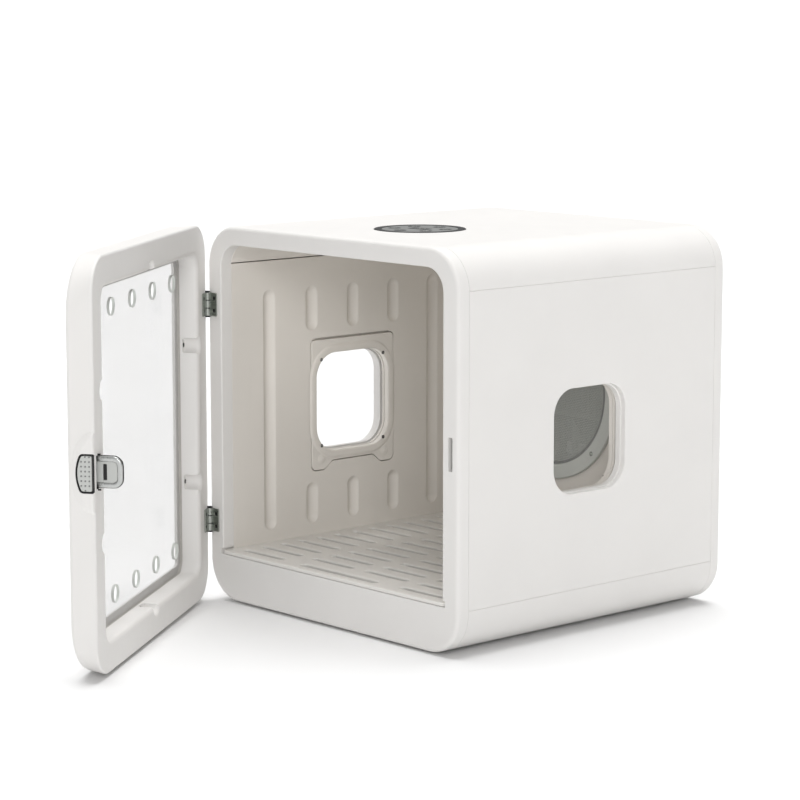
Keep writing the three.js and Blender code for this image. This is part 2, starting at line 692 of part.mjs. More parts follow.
// A screw through a leaf: its head fills the leaf's hole and its shank goes into the moulding behind.
function leafScrew(z, headY, towards) {
  const span = (a, b) => [Math.min(a, b), Math.max(a, b)];
  const headEnd = headY + towards * SCREW.headDeep;
  const tip = headY + towards * SCREW.long;
  return join(
    rod("y", span(headY, headEnd), [SCREW.x, z], SCREW.head, 12),
    rod("y", span(headEnd - towards * 0.1, tip), [SCREW.x, z], SCREW.shank, 8),
  );
}

// ---- door, modelled closed ----
const MOUTH_ROUND = 5; // softened inner edge of the door's opening

// The door's outline at one depth: its corners grow rounder towards the outer face.
function doorOutline(inset, y) {
  const middle = DOOR_IN_Y - DOOR_THICK / 2;
  const r = CORNER_R + 3 + DOOR_CORNER_SPREAD * ((middle - y) / DOOR_THICK) - inset;
  return { ...outline(inset, y, DOOR_LIFT), r };
}

function doorFrame() {
  const grow = (by, y) => opening(DOOR_OPENING, by, y);
  const seatY = DOOR_IN_Y - PANE_DEPTH + GAP;
  const ring = skin(
    [
      ...roundedEdge(3, DOOR_IN_Y, -1, doorOutline, 2),
      ...roundedEdge(ROUND, DOOR_OUT_Y, 1, doorOutline, 3).reverse().slice(0, 3),
      doorOutline(4, DOOR_OUT_Y + 0.4),
      doorOutline(4, DOOR_IN_Y - SKIN),
      grow(SKIN + 3, DOOR_IN_Y - SKIN),
      grow(SKIN, DOOR_IN_Y - SKIN - 3),
      grow(SKIN, seatY),
      grow(0, seatY),
      ...roundedEdge(MOUTH_ROUND, DOOR_IN_Y, -1, grow, 3).reverse(),
    ],
    true,
    7,
  );
  const bosses = scoopPlaces().map((at) => rod("y", [seatY, DOOR_IN_Y - 1], at, SCOOP_R + 3, 12));
  const outside = cut(
    skin([grow(14, seatY - 1), grow(14, DOOR_IN_Y)], false, 7),
    skin([grow(0, seatY - 2), grow(0, DOOR_IN_Y + 1)], false, 7),
  );
  const scoops = scoopPlaces().map((at) => rod("y", [seatY + 4, DOOR_IN_Y + 1], at, SCOOP_R, 12));
  const withBosses = join(ring, join(...bosses).intersect(outside));
  const pilots = screwHeights.map((z) =>
    rod("y", [DOOR_IN_Y - SKIN - 1, DOOR_IN_Y + 1], [SCREW.x, z], SCREW.pilot, 8),
  );
  return cut(join(withBosses, latchHousing()), ...scoops, ...hingeNotches(), ...pilots, latchPocket());
}

// Half-round channels in the frame's inner walls give a driver room to reach the pane's screws.
const SCOOP_R = 9;
function scoopPlaces() {
  const { x, z } = DOOR_OPENING;
  const middleX = (x[0] + x[1]) / 2;
  const sideZ = [145, 309];
  return [
    [middleX, z[0]],
    [middleX, z[1]],
    ...sideZ.map((at) => [x[0], at]),
    ...sideZ.map((at) => [x[1], at]),
  ];
}

const FREE_X = WIDTH / 2;
const BOSS = { z: [LATCH_Z - 43, LATCH_Z + 43], proud: 3 };
const PADDLE = { z: [LATCH_Z - 20.6, LATCH_Z + 20.6], deep: 18.4 };

// The raised pad round the latch on the door's free edge, with the block inside that carries it.
function latchHousing() {
  const y = [DOOR_OUT_Y + 4, DOOR_IN_Y - 0.6];
  const pad = prism("y", roundRect([FREE_X - 12, FREE_X + BOSS.proud], BOSS.z, 7), y, 4);
  return pad.subtract(box([FREE_X - 20, FREE_X - 4], [y[0] - 1, y[1] - 2.4], [0, HEIGHT]));
}

// Room for the paddle and its hook in the free edge, open to the inner face.
function latchPocket() {
  const y = [DOOR_IN_Y - PADDLE.deep - 1.2, DOOR_IN_Y + 1];
  const z = [PADDLE.z[0] - 1.2, PADDLE.z[1] + 1.2];
  return box([HOOK_X - 8, FREE_X + BOSS.proud + 1], y, z);
}

function latchBezel() {
  const y = [DOOR_IN_Y - PADDLE.deep - 0.9, DOOR_IN_Y - 0.3];
  const z = [PADDLE.z[0] - 0.9, PADDLE.z[1] + 0.9];
  const x = [HOOK_X - 7.6, FREE_X + BOSS.proud - 0.6];
  const inset = 1;
  const block = box(x, y, z);
  const well = box(
    [x[0] + 2, x[1] + 1],
    [y[0] + inset, y[1] + 1],
    [z[0] + inset, z[1] - inset],
  );
  return cut(block, well, rod("z", [z[0] - 1, z[1] + 1], LATCH_PIVOT, 1.5, 12));
}

const LATCH_PIVOT = [FREE_X - 6, DOOR_IN_Y - 3.6];

// The paddle: its bowed side faces out, its straight side lies along the inner face.
function latchPaddle() {
  const y = [DOOR_IN_Y - PADDLE.deep + 1.3, DOOR_IN_Y - 0.8];
  const z = [PADDLE.z[0] + 0.6, PADDLE.z[1] - 0.6];
  const shape = new THREE.Shape();
  const corner = 5;
  const bow = 3;
  shape.moveTo(y[1], z[0]);
  shape.lineTo(y[1], z[1]);
  shape.lineTo(y[0] + bow + corner, z[1]);
  shape.quadraticCurveTo(y[0] + bow, z[1], y[0] + bow, z[1] - corner);
  shape.quadraticCurveTo(y[0] - bow, LATCH_Z, y[0] + bow, z[0] + corner);
  shape.quadraticCurveTo(y[0] + bow, z[0], y[0] + bow + corner, z[0]);
  const face = prism("x", shape, [FREE_X - 1.5, FREE_X + BOSS.proud - 0.2], 5);
  const stem = box([HOOK_X + 2, FREE_X - 1], [DOOR_IN_Y - 7, y[1]], [z[0] + 4, z[1] - 4]);
  return cut(join(face, stem), rod("z", [0, HEIGHT], LATCH_PIVOT, 1.5, 12));
}

const latchPin = () => rod("z", [PADDLE.z[0] - 0.8, PADDLE.z[1] + 0.8], LATCH_PIVOT, 1.2, 12);

// The hook is a bent wire loop round a thin plate with a slot; it reaches into the frame's slot.
function latchHook() {
  const wire = 1.6;
  const z = [LATCH_Z - 17.2 + wire, LATCH_Z + 17.2 - wire];
  const y = [DOOR_IN_Y - 4, DOOR_IN_Y + HOOK_REACH - wire];
  const bend = 7;
  const path = new THREE.CurvePath();
  const at = (py, pz) => new THREE.Vector3(HOOK_X, py, pz);
  const corner = (a, b, c) => new THREE.QuadraticBezierCurve3(a, b, c);
  path.add(new THREE.LineCurve3(at(y[0], z[0]), at(y[1] - bend, z[0])));
  path.add(corner(at(y[1] - bend, z[0]), at(y[1], z[0]), at(y[1], z[0] + bend)));
  path.add(new THREE.LineCurve3(at(y[1], z[0] + bend), at(y[1], z[1] - bend)));
  path.add(corner(at(y[1], z[1] - bend), at(y[1], z[1]), at(y[1] - bend, z[1])));
  path.add(new THREE.LineCurve3(at(y[1] - bend, z[1]), at(y[0], z[1])));
  const section = new THREE.Shape();
  section.absarc(0, 0, wire, 0, Math.PI * 2);
  const loop = new THREE.ExtrudeGeometry(section, { extrudePath: path, steps: 22, curveSegments: 4 });
  const plate = box([HOOK_X - 0.8, HOOK_X + 0.8], [y[0], y[1]], [z[0], z[1]]);
  const slot = box([HOOK_X - 2, HOOK_X + 2], [DOOR_IN_Y + 8, DOOR_IN_Y + 12], [z[0] + 7, z[1] - 7]);
  const foot = box([HOOK_X - 1.6, HOOK_X + 1.7], [y[0] - 2, y[0] + 1.5], [z[0] - 1, z[1] + 1]);
  return join(toSolid(loop), cut(plate, slot), foot);
}

const latchSpring = () => {
  const at = [(HOOK_X + FREE_X) / 2 - 2, DOOR_IN_Y - 12.5];
  return rod("z", [LATCH_Z - 9, LATCH_Z + 9], at, 2.4, 14);
};

function strikeKeeper() {
  const y = [FRONT_Y + FRAME_FACE + GAP, FRONT_Y + FRAME_FACE + GAP + 2];
  const plate = box([STRIKE.x[0] - 5, STRIKE.x[1] + 5], y, [STRIKE.z[0] - 9, STRIKE.z[1] + 9]);
  return plate.subtract(box(STRIKE.x, [y[0] - 1, y[1] + 1], STRIKE.z));
}

function doorPane() {
  const y = [DOOR_IN_Y - PANE_DEPTH - PANE, DOOR_IN_Y - PANE_DEPTH];
  const pane = skin(
    y.map((at) => opening(DOOR_OPENING, 8, at)),
    false,
    6,
  );
  const pitch = 78;
  const holes = [-2, -1, 0, 1, 2].flatMap((i) =>
    [66, 385].map((z) => rod("y", [y[0] - 1, y[1] + 1], [i * pitch, z], 10, 14)),
  );
  return cut(pane, ...holes);
}

// The outer face ring that clamps the pane: its opening is smaller all round than the frame's.
const RING_LIP = 9;
function doorFrontRing() {
  const back = DOOR_IN_Y - PANE_DEPTH - PANE - GAP;
  return skin(
    [
      doorOutline(4 + GAP, back),
      doorOutline(4 + GAP, DOOR_OUT_Y + 0.6),
      doorOutline(5.2, DOOR_OUT_Y),
      opening(DOOR_OPENING, -RING_LIP + 2, DOOR_OUT_Y),
      opening(DOOR_OPENING, -RING_LIP, DOOR_OUT_Y + 2),
      opening(DOOR_OPENING, -RING_LIP, back),
    ],
    true,
    7,
  );
}

// ---- assembly ----
place("front_frame", frontFrame(), shellWhite);
place("top_cover", topCover(), shellWhite);
place("base_shell", baseShell(), shellWhite);
place("left_panel", sidePanel(-1), shellWhite);
place("right_panel", sidePanel(1), shellWhite);
place("left_liner", sideLiner(-1), linerWhite);
place("right_liner", sideLiner(1), linerWhite);
place("upper_liner", upperLiner(), linerWhite);
place("left_window_pane", windowPane(-1), clear);
place("right_window_pane", windowPane(1), clear);
place("left_window_trim", windowTrim(-1), linerWhite);
place("right_window_trim", windowTrim(1), linerWhite);
place("drip_pan", dripPan(), latchGrey);
place("floor_grate", floorGrate(), grateWhite);
place("inner_back_wall", innerBackWall(), linerWhite);
place("outlet_ring", outletRing(), ventGrey);
place("outlet_mesh", outletMesh(), ventGrey);
place("blower_shroud", blowerShroud(), black);
place("heater", heater(), steel);
place("impeller", impeller(), black);
place("fan_shaft", fanShaft(), steel);
place("fan_motor", fanMotor(), steel);
place("motor_mount", motorMount(), steel);
place("rear_cover", rearCover(), shellWhite);
place("filter_cover", filterCover(), shellWhite);
place("filter_pad", filterPad(), black);
place("power_inlet", powerInlet(), black);
place("panel_bezel", panelBezel(), panelDark);
place("touch_panel", touchPanel(), panelGrey);
place("control_board", controlBoard(), board);
place("strike_keeper", strikeKeeper(), steel);
footPlaces.forEach(([name, x, y]) => place(name, foot(x, y), rubber));

// The door is built closed, then its group is swung open about the hinge pins.
const swing = new THREE.Group();
swing.position.set(HINGE.x, HINGE.y, 0);
swing.rotation.z = -DOOR_OPEN;
const door = new THREE.Group();
door.position.set(-HINGE.x, -HINGE.y, 0);
swing.add(door);
model.add(swing);

place("door_frame", doorFrame(), shellWhite, door);
place("door_front_ring", doorFrontRing(), shellWhite, door);
place("door_pane", doorPane(), clear, door);
place("latch_bezel", latchBezel(), black, door);
place("latch_paddle", latchPaddle(), latchGrey, door);
place("latch_hook", latchHook(), chrome, door);
place("latch_pin", latchPin(), steel, door);
place("latch_spring", latchSpring(), steel, door);

["upper", "lower"].forEach((level, i) => {
  const z = HINGE.z[i];
  place(`${level}_hinge_cabinet_leaf`, hingeLeaf(z, "cabinet", [1]), steel);
  place(`${level}_hinge_pin`, hingePin(z), steel);
  place(`${level}_hinge_door_leaf`, hingeLeaf(z, "door", [0, 2]), steel, door);
  ["a", "b"].forEach((letter, k) => {
    const height = z + (k ? -SCREW.apart : SCREW.apart);
    place(`${level}_cabinet_leaf_screw_${letter}`, leafScrew(height, FRONT_Y - LEAF, 1), steel);
    place(`${level}_door_leaf_screw_${letter}`, leafScrew(height, DOOR_IN_Y + LEAF, -1), steel, door);
  });
});

export default model;
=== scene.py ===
"""The looks of a pet drying cabinet: moulded shells, lining, grate, door, latch, hinges and materials.

Lengths are millimetres in this script, and every mesh is scaled to metres as it is made. Pieces of the
door are shaped with the door shut, then turned to where it stands at rest.
"""
import json
import math

import bmesh
import bpy
from mathutils import Matrix, Vector
from mathutils.geometry import tessellate_polygon


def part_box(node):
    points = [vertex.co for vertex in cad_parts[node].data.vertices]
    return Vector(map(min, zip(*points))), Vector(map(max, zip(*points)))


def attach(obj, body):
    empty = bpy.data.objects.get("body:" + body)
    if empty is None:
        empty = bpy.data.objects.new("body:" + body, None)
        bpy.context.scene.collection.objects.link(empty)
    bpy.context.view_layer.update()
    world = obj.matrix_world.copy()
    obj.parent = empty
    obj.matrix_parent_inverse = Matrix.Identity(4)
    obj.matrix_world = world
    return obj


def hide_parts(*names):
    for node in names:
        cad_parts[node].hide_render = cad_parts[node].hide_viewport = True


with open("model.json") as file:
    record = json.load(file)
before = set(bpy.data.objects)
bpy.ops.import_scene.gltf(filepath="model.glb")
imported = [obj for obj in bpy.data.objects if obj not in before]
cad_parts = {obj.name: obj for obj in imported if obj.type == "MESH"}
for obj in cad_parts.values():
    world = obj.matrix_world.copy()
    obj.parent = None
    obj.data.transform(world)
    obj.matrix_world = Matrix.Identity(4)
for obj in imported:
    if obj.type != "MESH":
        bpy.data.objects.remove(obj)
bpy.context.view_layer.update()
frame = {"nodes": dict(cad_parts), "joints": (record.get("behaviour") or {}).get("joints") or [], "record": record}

MM = 0.001
X, Y, Z = 0, 1, 2


def span(node, axis):
    """Lowest and highest place of a CAD node along an axis, in millimetres."""
    low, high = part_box(node)
    return low[axis] / MM, high[axis] / MM


def middle(pair):
    return (pair[0] + pair[1]) / 2


def grown(pair, by):
    return pair[0] - by, pair[1] + by


# ---- driving dimensions: the frame gives the sizes, and the radii and insets are the mouldings' own ----
FRONT_Y, FRAME_BACK_Y = span("front_frame", Y)
BODY_Y = span("top_cover", Y)
COVER_Y, REAR_Y = span("rear_cover", Y)
HALF_WIDTH = span("front_frame", X)[1]
HEIGHT = span("front_frame", Z)[1]
TOP_SEAM_Z = span("top_cover", Z)[0]
BASE_SEAM_Z = span("base_shell", Z)[1]
CABIN_X = -span("left_liner", X)[1]
LINER_Z = span("left_liner", Z)
GRATE_X = span("floor_grate", X)[1]
GRATE_Z = span("floor_grate", Z)
BACK_WALL_Y = span("inner_back_wall", Y)[0]
FLOOR_Z = span("front_left_foot", Z)[0]
PANEL_Y = middle(span("panel_bezel", Y))
PANEL_R = span("panel_bezel", X)[1]
TOUCH_R = span("touch_panel", X)[1]
OUTLET_Z = middle(span("outlet_ring", Z))
OUTLET_R = span("outlet_ring", X)[1]
PANE_GROW = 8
WINDOW_Y = grown(span("right_window_pane", Y), -PANE_GROW)
WINDOW_Z = grown(span("right_window_pane", Z), -PANE_GROW)
PANE_X = span("right_window_pane", X)
HINGE_Z = [middle(span("lower_hinge_pin", Z)), middle(span("upper_hinge_pin", Z))]
LATCH_Z = middle(span("latch_hook", Z))
STRIKE_X = span("strike_keeper", X)
STRIKE_Z = span("strike_keeper", Z)
INTAKE_X = span("filter_cover", X)
INTAKE_Z = span("filter_cover", Z)
INLET_X = span("power_inlet", X)
INLET_Z = span("power_inlet", Z)

CORNER_R = 48
SKIN = 3
ROUND = 5
SEAM_R = 0.35
CABIN_TOP_Z = 427.8
CABIN_TOP_R = 27
SILL_Z = 55.2
WINDOW_R = 30
OUTLET_OPEN_R = 94
INTAKE_R = 14

hinge = next(j for j in frame["joints"] if j["name"] == "door_hinge")
HINGE_X, HINGE_Y = hinge["pos_m"][X] / MM, hinge["pos_m"][Y] / MM
DOOR_OPEN = math.radians(-hinge["range_deg"][0])
HINGE_AT = Vector((HINGE_X, HINGE_Y, 0)) * MM
DOOR_SWING = Matrix.Rotation(-DOOR_OPEN, 4, "Z")
DOOR_TURN = Matrix.Translation(HINGE_AT) @ DOOR_SWING @ Matrix.Translation(-HINGE_AT)

DOOR_IN_Y = FRONT_Y - 4.5
DOOR_THICK = 30
DOOR_OUT_Y = DOOR_IN_Y - DOOR_THICK
DOOR_LIFT = 1.5
DOOR_CORNER_SPREAD = 24  # how much rounder its outer corners are than its inner ones
MOUTH_ROUND = 5.5  # of the inner edge of its opening
RING_LIP = 9  # how far the outer ring reaches in past the frame
DOOR_OPENING_X = (-181.5, 183.5)
DOOR_OPENING_Z = (36, 417)
DOOR_OPENING_R = 16
PANE_DEPTH = 22.7
PANE_THICK = 3
FREE_X = HALF_WIDTH
HOOK_X = 204.8
HOOK_REACH = 27


# ---- outlines in a plane ----
def arc(centre, r, start, end, steps):
    """Points on an arc, from one angle to another in degrees."""
    angles = (math.radians(start + (end - start) * i / steps) for i in range(steps + 1))
    return [(centre[0] + r * math.cos(a), centre[1] + r * math.sin(a)) for a in angles]


def round_rect(u, v, r, steps=12):
    """A rectangle, counter-clockwise, with one radius or one for each corner from the lower right."""
    radii = r if isinstance(r, (tuple, list)) else (r,) * 4
    corners = [(u[1], v[0], 1, -1), (u[1], v[1], 1, 1), (u[0], v[1], -1, 1), (u[0], v[0], -1, -1)]
    loop = []
    for i, (cu, cv, su, sv) in enumerate(corners):
        radius = radii[i]
        loop += arc((cu - su * radius, cv - sv * radius), radius, -90 + 90 * i, 90 * i, steps)
    return loop


def circle(centre, r, steps=48):
    return arc(centre, r, 0, 360 - 360 / steps, steps - 1)


def stadium(centre, long, wide, steps=6):
    """A slot with round ends that runs along u."""
    r = wide / 2
    half = long / 2 - r
    right = arc((centre[0] + half, centre[1]), r, -90, 90, steps)
    return right + arc((centre[0] - half, centre[1]), r, 90, 270, steps)


def inset(loop, distance):
    """The loop moved to its left by a distance, which draws a counter-clockwise outline in."""
    if abs(distance) < 1e-9:
        return list(loop)
    moved = []
    count = len(loop)
    for i, (u, v) in enumerate(loop):
        before, after = loop[i - 1], loop[(i + 1) % count]
        a = Vector((u - before[0], v - before[1])).normalized()
        b = Vector((after[0] - u, after[1] - v)).normalized()
        normal = Vector((-a.y - b.y, a.x + b.x))
        scale = distance / max(0.2, 1 + a.dot(b))
        moved.append((u + normal.x * scale, v + normal.y * scale))
    return moved


def box_outline():
    """The cabinet's own outline seen from the front."""
    return round_rect((-HALF_WIDTH, HALF_WIDTH), (0, HEIGHT), CORNER_R, 20)


def window_outline(grow=0.0):
    return round_rect(grown(WINDOW_Y, grow), grown(WINDOW_Z, grow), WINDOW_R + grow, 14)


# ---- solids ----
def along_x(side=1):
    return lambda u, v, w: (side * w, u, v)


def along_y(u, v, w):
    return (u, w, v)


def along_z(u, v, w):
    return (u, v, w)


def faced_out(mesh, weld=False):
    """The mesh with its faces turned out, and its doubled points welded if asked."""
    work = bmesh.new()
    work.from_mesh(mesh)
    if weld:
        bmesh.ops.remove_doubles(work, verts=work.verts, dist=1e-7)
    bmesh.ops.recalc_face_normals(work, faces=work.faces)
    work.to_mesh(mesh)
    work.free()
    return mesh


def solid(points, faces):
    """A closed mesh in metres from points in millimetres."""
    mesh = bpy.data.meshes.new("solid")
    mesh.from_pydata([Vector(p) * MM for p in points], [], faces)
    return faced_out(mesh, weld=True)


def fillet(r, w, direction, steps=4):
    """Stations (inset, w) that round an edge off, from the face at w to the wall."""
    angles = [i / steps * math.pi / 2 for i in range(steps + 1)]
    return [(r * (1 - math.sin(a)), w + direction * r * (1 - math.cos(a))) for a in angles]


def moulded(loops, walls, place):
    """A solid with one flat face at the first station of its walls and one at the last.

    loops[0] is the outline and the rest are holes, all counter-clockwise, and a loop may be a function
    of w. walls[i] lists the (inset, w) stations that the wall along loop i passes through, where an inset
    always takes material away.
    """
    points, faces, first, last = [], [], [], []
    for number, loop in enumerate(loops):
        rings = []
        for distance, w in walls[number]:
            line = loop(w) if callable(loop) else loop
            line = line if number == 0 else line[::-1]
            ring = [(u, v, w) for u, v in inset(line, distance)]
            count = len(ring)
            rings.append(range(len(points), len(points) + count))
            points += ring
        for a, b in zip(rings, rings[1:]):
            for j in range(count):
                k = (j + 1) % count
                faces.append((a[j], a[k], b[k], b[j]))
        first.append(rings[0])
        last.append(rings[-1])
    for end in (first, last):
        flat = [i for ring in end for i in ring]
        outlines = [[Vector((points[i][0], points[i][1], 0)) for i in ring] for ring in end]
        for triangle in tessellate_polygon(outlines):
            faces.append(tuple(flat[i] for i in triangle))
    return solid([place(*p) for p in points], faces)


def plate(loops, low, high, r, place, steps=4):
    """A flat plate with rounded edges round its outline and its holes."""
    wall = fillet(r, high, -1, steps) + fillet(r, low, 1, steps)[::-1] if r else [(0, high), (0, low)]
    return moulded(loops, [wall] * len(loops), place)


def lathe(profile, centre, place, steps=64):
    """A closed profile of (radius, w) points turned round an axis through centre."""
    points, faces, rings = [], [], []
    for radius, w in profile:
        start = len(points)
        if radius < 1e-6:
            points.append((centre[0], centre[1], w))
            rings.append([start] * steps)
            continue
        points += [(u, v, w) for u, v in circle(centre, radius, steps)]
        rings.append(list(range(start, start + steps)))
    pairs = list(zip(rings, rings[1:] + rings[:1]))
    if profile[0][0] < 1e-6 and profile[-1][0] < 1e-6:
        pairs = pairs[:-1]
    for a, b in pairs:
        for j in range(steps):
            k = (j + 1) % steps
            corners = [a[j], a[k], b[k], b[j]]
            face = [c for i, c in enumerate(corners) if c not in corners[:i]]
            if len(face) > 2:
                faces.append(face)
    return solid([place(*p) for p in points], faces)


def disc_profile(r, low, high, edge, steps=4):
    """The half section of a disc with rounded rims, for lathe()."""
    top = [(r - d, w) for d, w in fillet(edge, high, -1, steps)]
    bottom = [(r - d, w) for d, w in fillet(edge, low, 1, steps)]
    return [(0, high)] + top + bottom[::-1] + [(0, low)]


def ring_profile(inner, outer, low, high, edge, steps=4):
    """The section of a flat ring with rounded edges, for lathe()."""
    outside = [(outer - d, w) for d, w in fillet(edge, high, -1, steps)]
    outside += [(outer - d, w) for d, w in fillet(edge, low, 1, steps)][::-1]
    inside = [(inner + d, w) for d, w in fillet(edge, low, 1, steps)]
    inside += [(inner + d, w) for d, w in fillet(edge, high, -1, steps)][::-1]
    return outside + inside


def sweep(path, section, up):
    """A section of (sideways, up) offsets pushed along an open path of points."""
    path = [Vector(p) for p in path]
    up = Vector(up)
    points, faces, count = [], [], len(section)
    for i, p in enumerate(path):
        before = path[i - 1] if i else p
        after = path[i + 1] if i + 1 < len(path) else p
        side = (after - before).normalized().cross(up).normalized()
        points += [tuple(p + side * a + up * b) for a, b in section]
    for i in range(len(path) - 1):
        a, b = i * count, (i + 1) * count
        faces += [(a + j, a + (j + 1) % count, b + (j + 1) % count, b + j) for j in range(count)]
    faces += [tuple(range(count)), tuple(range(len(points) - count, len(points)))]
    return solid(points, faces)


def block(x, y, z):
    return plate([[(x[0], y[0]), (x[1], y[0]), (x[1], y[1]), (x[0], y[1])]], z[0], z[1], 0, along_z)


def together(*meshes):
    """One mesh of several."""
    work = bmesh.new()
    for mesh in meshes:
        work.from_mesh(mesh)
    result = bpy.data.meshes.new("together")
    work.to_mesh(result)
    work.free()
    return result


def carved(mesh, *cutters):
    """The mesh with other solids cut from it."""
    base = bpy.data.objects.new("carved", mesh)
    bpy.context.scene.collection.objects.link(base)
    tools = []
    for cutter in cutters:
        tool = bpy.data.objects.new("cutter", cutter)
        bpy.context.scene.collection.objects.link(tool)
        tools.append(tool)
        boolean = base.modifiers.new("cut", "BOOLEAN")
        boolean.operation = "DIFFERENCE"
        boolean.solver = "MANIFOLD"
        boolean.object = tool
    graph = bpy.context.evaluated_depsgraph_get()
    result = bpy.data.meshes.new_from_object(base.evaluated_get(graph))
    for thing in [base] + tools:
        bpy.data.objects.remove(thing)
    return result


def piece(name, mesh, slot, nodes=(), body="cabinet", turn=None, crease=34, bevel=0.0, look=None):
    """One object of the visual model, on a body, in the material of its slot or in a look of its own."""
    if turn is not None:
        mesh.transform(turn)
    mesh.name = name
    mesh.shade_smooth()
    mesh.set_sharp_from_angle(angle=math.radians(crease))
    mesh.materials.clear()
    mesh.materials.append(looks[look or slot])
    thing = bpy.data.objects.new(name, mesh)
    bpy.context.scene.collection.objects.link(thing)
    if bevel:
        soft = thing.modifiers.new("edges", "BEVEL")
        soft.width = bevel * MM
        soft.segments = 3
        soft.limit_method = "ANGLE"
        soft.angle_limit = math.radians(50)
        soft.harden_normals = False
    weighted = thing.modifiers.new("normals", "WEIGHTED_NORMAL")
    weighted.keep_sharp = True
    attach(thing, body)
    if nodes:
        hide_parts(*nodes)
    return thing


def door_piece(name, mesh, slot, nodes=(), body="door", **extra):
    return piece(name, mesh, slot, nodes, body, DOOR_TURN, **extra)


# ---- materials ----
def new_material(name):
    made = bpy.data.materials.new(name)
    made.use_nodes = True
    tree = made.node_tree
    shader = tree.nodes["Principled BSDF"]
    place = tree.nodes.new("ShaderNodeTexCoord").outputs["Object"]
    return made, tree, shader, place


def noise(tree, place, scale, detail=3.0, roughness=0.5):
    node = tree.nodes.new("ShaderNodeTexNoise")
    node.inputs["Scale"].default_value = scale
    node.inputs["Detail"].default_value = detail
    node.inputs["Roughness"].default_value = roughness
    tree.links.new(place, node.inputs["Vector"])
    return node.outputs["Fac"]


def ramp(tree, value, stops):
    node = tree.nodes.new("ShaderNodeValToRGB")
    elements = node.color_ramp.elements
    while len(elements) < len(stops):
        elements.new(0.5)
    for element, (position, colour) in zip(elements, stops):
        element.position = position
        element.color = (*colour, 1.0) if hasattr(colour, "__len__") else (colour, colour, colour, 1.0)
    tree.links.new(value, node.inputs["Fac"])
    return node.outputs["Color"]


def bump(tree, shader, height, distance, strength=1.0, below=None):
    node = tree.nodes.new("ShaderNodeBump")
    node.inputs["Distance"].default_value = distance * MM
    node.inputs["Strength"].default_value = strength
    tree.links.new(height, node.inputs["Height"])
    if below is not None:
        tree.links.new(below, node.inputs["Normal"])
    tree.links.new(node.outputs["Normal"], shader.inputs["Normal"])
    return node.outputs["Normal"]


def tinted(colour, factor):
    return tuple(min(1.0, c * factor) for c in colour)


def moulded_plastic(name, colour, rough=(0.46, 0.6), grain=1100, grain_deep=0.05, specular=0.4):
    """Textured moulded plastic: a fine spark-eroded grain, faint flow clouds and small shifts of gloss."""
    made, tree, shader, place = new_material(name)
    clouds = noise(tree, place, 9, 4)
    tree.links.new(ramp(tree, clouds, [(0.3, tinted(colour, 0.985)), (0.7, tinted(colour, 1.012))]),
                   shader.inputs["Base Color"])
    gloss = noise(tree, place, 60, 5)
    tree.links.new(ramp(tree, gloss, [(0.3, rough[0]), (0.72, rough[1])]), shader.inputs["Roughness"])
    fine = noise(tree, place, grain, 2, 0.6)
    coarse = noise(tree, place, grain / 3.2, 3, 0.6)
    under = bump(tree, shader, coarse, grain_deep * 1.6, 0.35)
    bump(tree, shader, fine, grain_deep, 0.6, under)
    shader.inputs["Specular IOR Level"].default_value = specular
    return made


def clear_plastic(name, opacity, tone=0.22):
    """Polished clear sheet with faint haze; the opacity is that of one of its two faces."""
    made, tree, shader, place = new_material(name)
    shader.inputs["Alpha"].default_value = opacity
    shader.inputs["Specular IOR Level"].default_value = 0.8
    haze = noise(tree, place, 25, 4)
    tree.links.new(ramp(tree, haze, [(0.3, tinted((tone,) * 3, 0.9)), (0.8, tinted((tone,) * 3, 1.12))]),
                   shader.inputs["Base Color"])
    tree.links.new(ramp(tree, haze, [(0.35, 0.03), (0.8, 0.09)]), shader.inputs["Roughness"])
    bump(tree, shader, noise(tree, place, 14, 1), 0.12, 0.25)
    return made


def metal(name, colour, rough=(0.2, 0.34), grain=(30, 30, 700), deep=0.01):
    """Plated or pressed metal with a faint brushed grain along one axis."""
    made, tree, shader, place = new_material(name)
    stretch = tree.nodes.new("ShaderNodeMapping")
    stretch.inputs["Scale"].default_value = grain
    tree.links.new(place, stretch.inputs["Vector"])
    brushed = noise(tree, stretch.outputs["Vector"], 3, 5, 0.65)
    tree.links.new(ramp(tree, brushed, [(0.3, tinted(colour, 0.86)), (0.7, tinted(colour, 1.08))]),
                   shader.inputs["Base Color"])
    tree.links.new(ramp(tree, brushed, [(0.3, rough[0]), (0.7, rough[1])]), shader.inputs["Roughness"])
    shader.inputs["Metallic"].default_value = 1.0
    bump(tree, shader, brushed, deep, 0.5)
    return made


def gloss_plastic(name, colour, rough=(0.12, 0.22), specular=0.5):
    made, tree, shader, place = new_material(name)
    smear = noise(tree, place, 70, 5)
    tree.links.new(ramp(tree, smear, [(0.3, tinted(colour, 0.92)), (0.75, tinted(colour, 1.08))]),
                   shader.inputs["Base Color"])
    tree.links.new(ramp(tree, smear, [(0.35, rough[0]), (0.75, rough[1])]), shader.inputs["Roughness"])
    bump(tree, shader, noise(tree, place, 30, 2), 0.02, 0.3)
    shader.inputs["Specular IOR Level"].default_value = specular
    return made


def foam(name):
    """Open-cell filter foam."""
    made, tree, shader, place = new_material(name)
    cells = tree.nodes.new("ShaderNodeTexVoronoi")
    cells.feature = "DISTANCE_TO_EDGE"
    cells.inputs["Scale"].default_value = 520
    tree.links.new(place, cells.inputs["Vector"])
    edge = cells.outputs["Distance"]
    tree.links.new(ramp(tree, edge, [(0.02, 0.11), (0.3, 0.02)]), shader.inputs["Base Color"])
    shader.inputs["Roughness"].default_value = 0.95
    bump(tree, shader, edge, -1.2, 1.0)
    return made


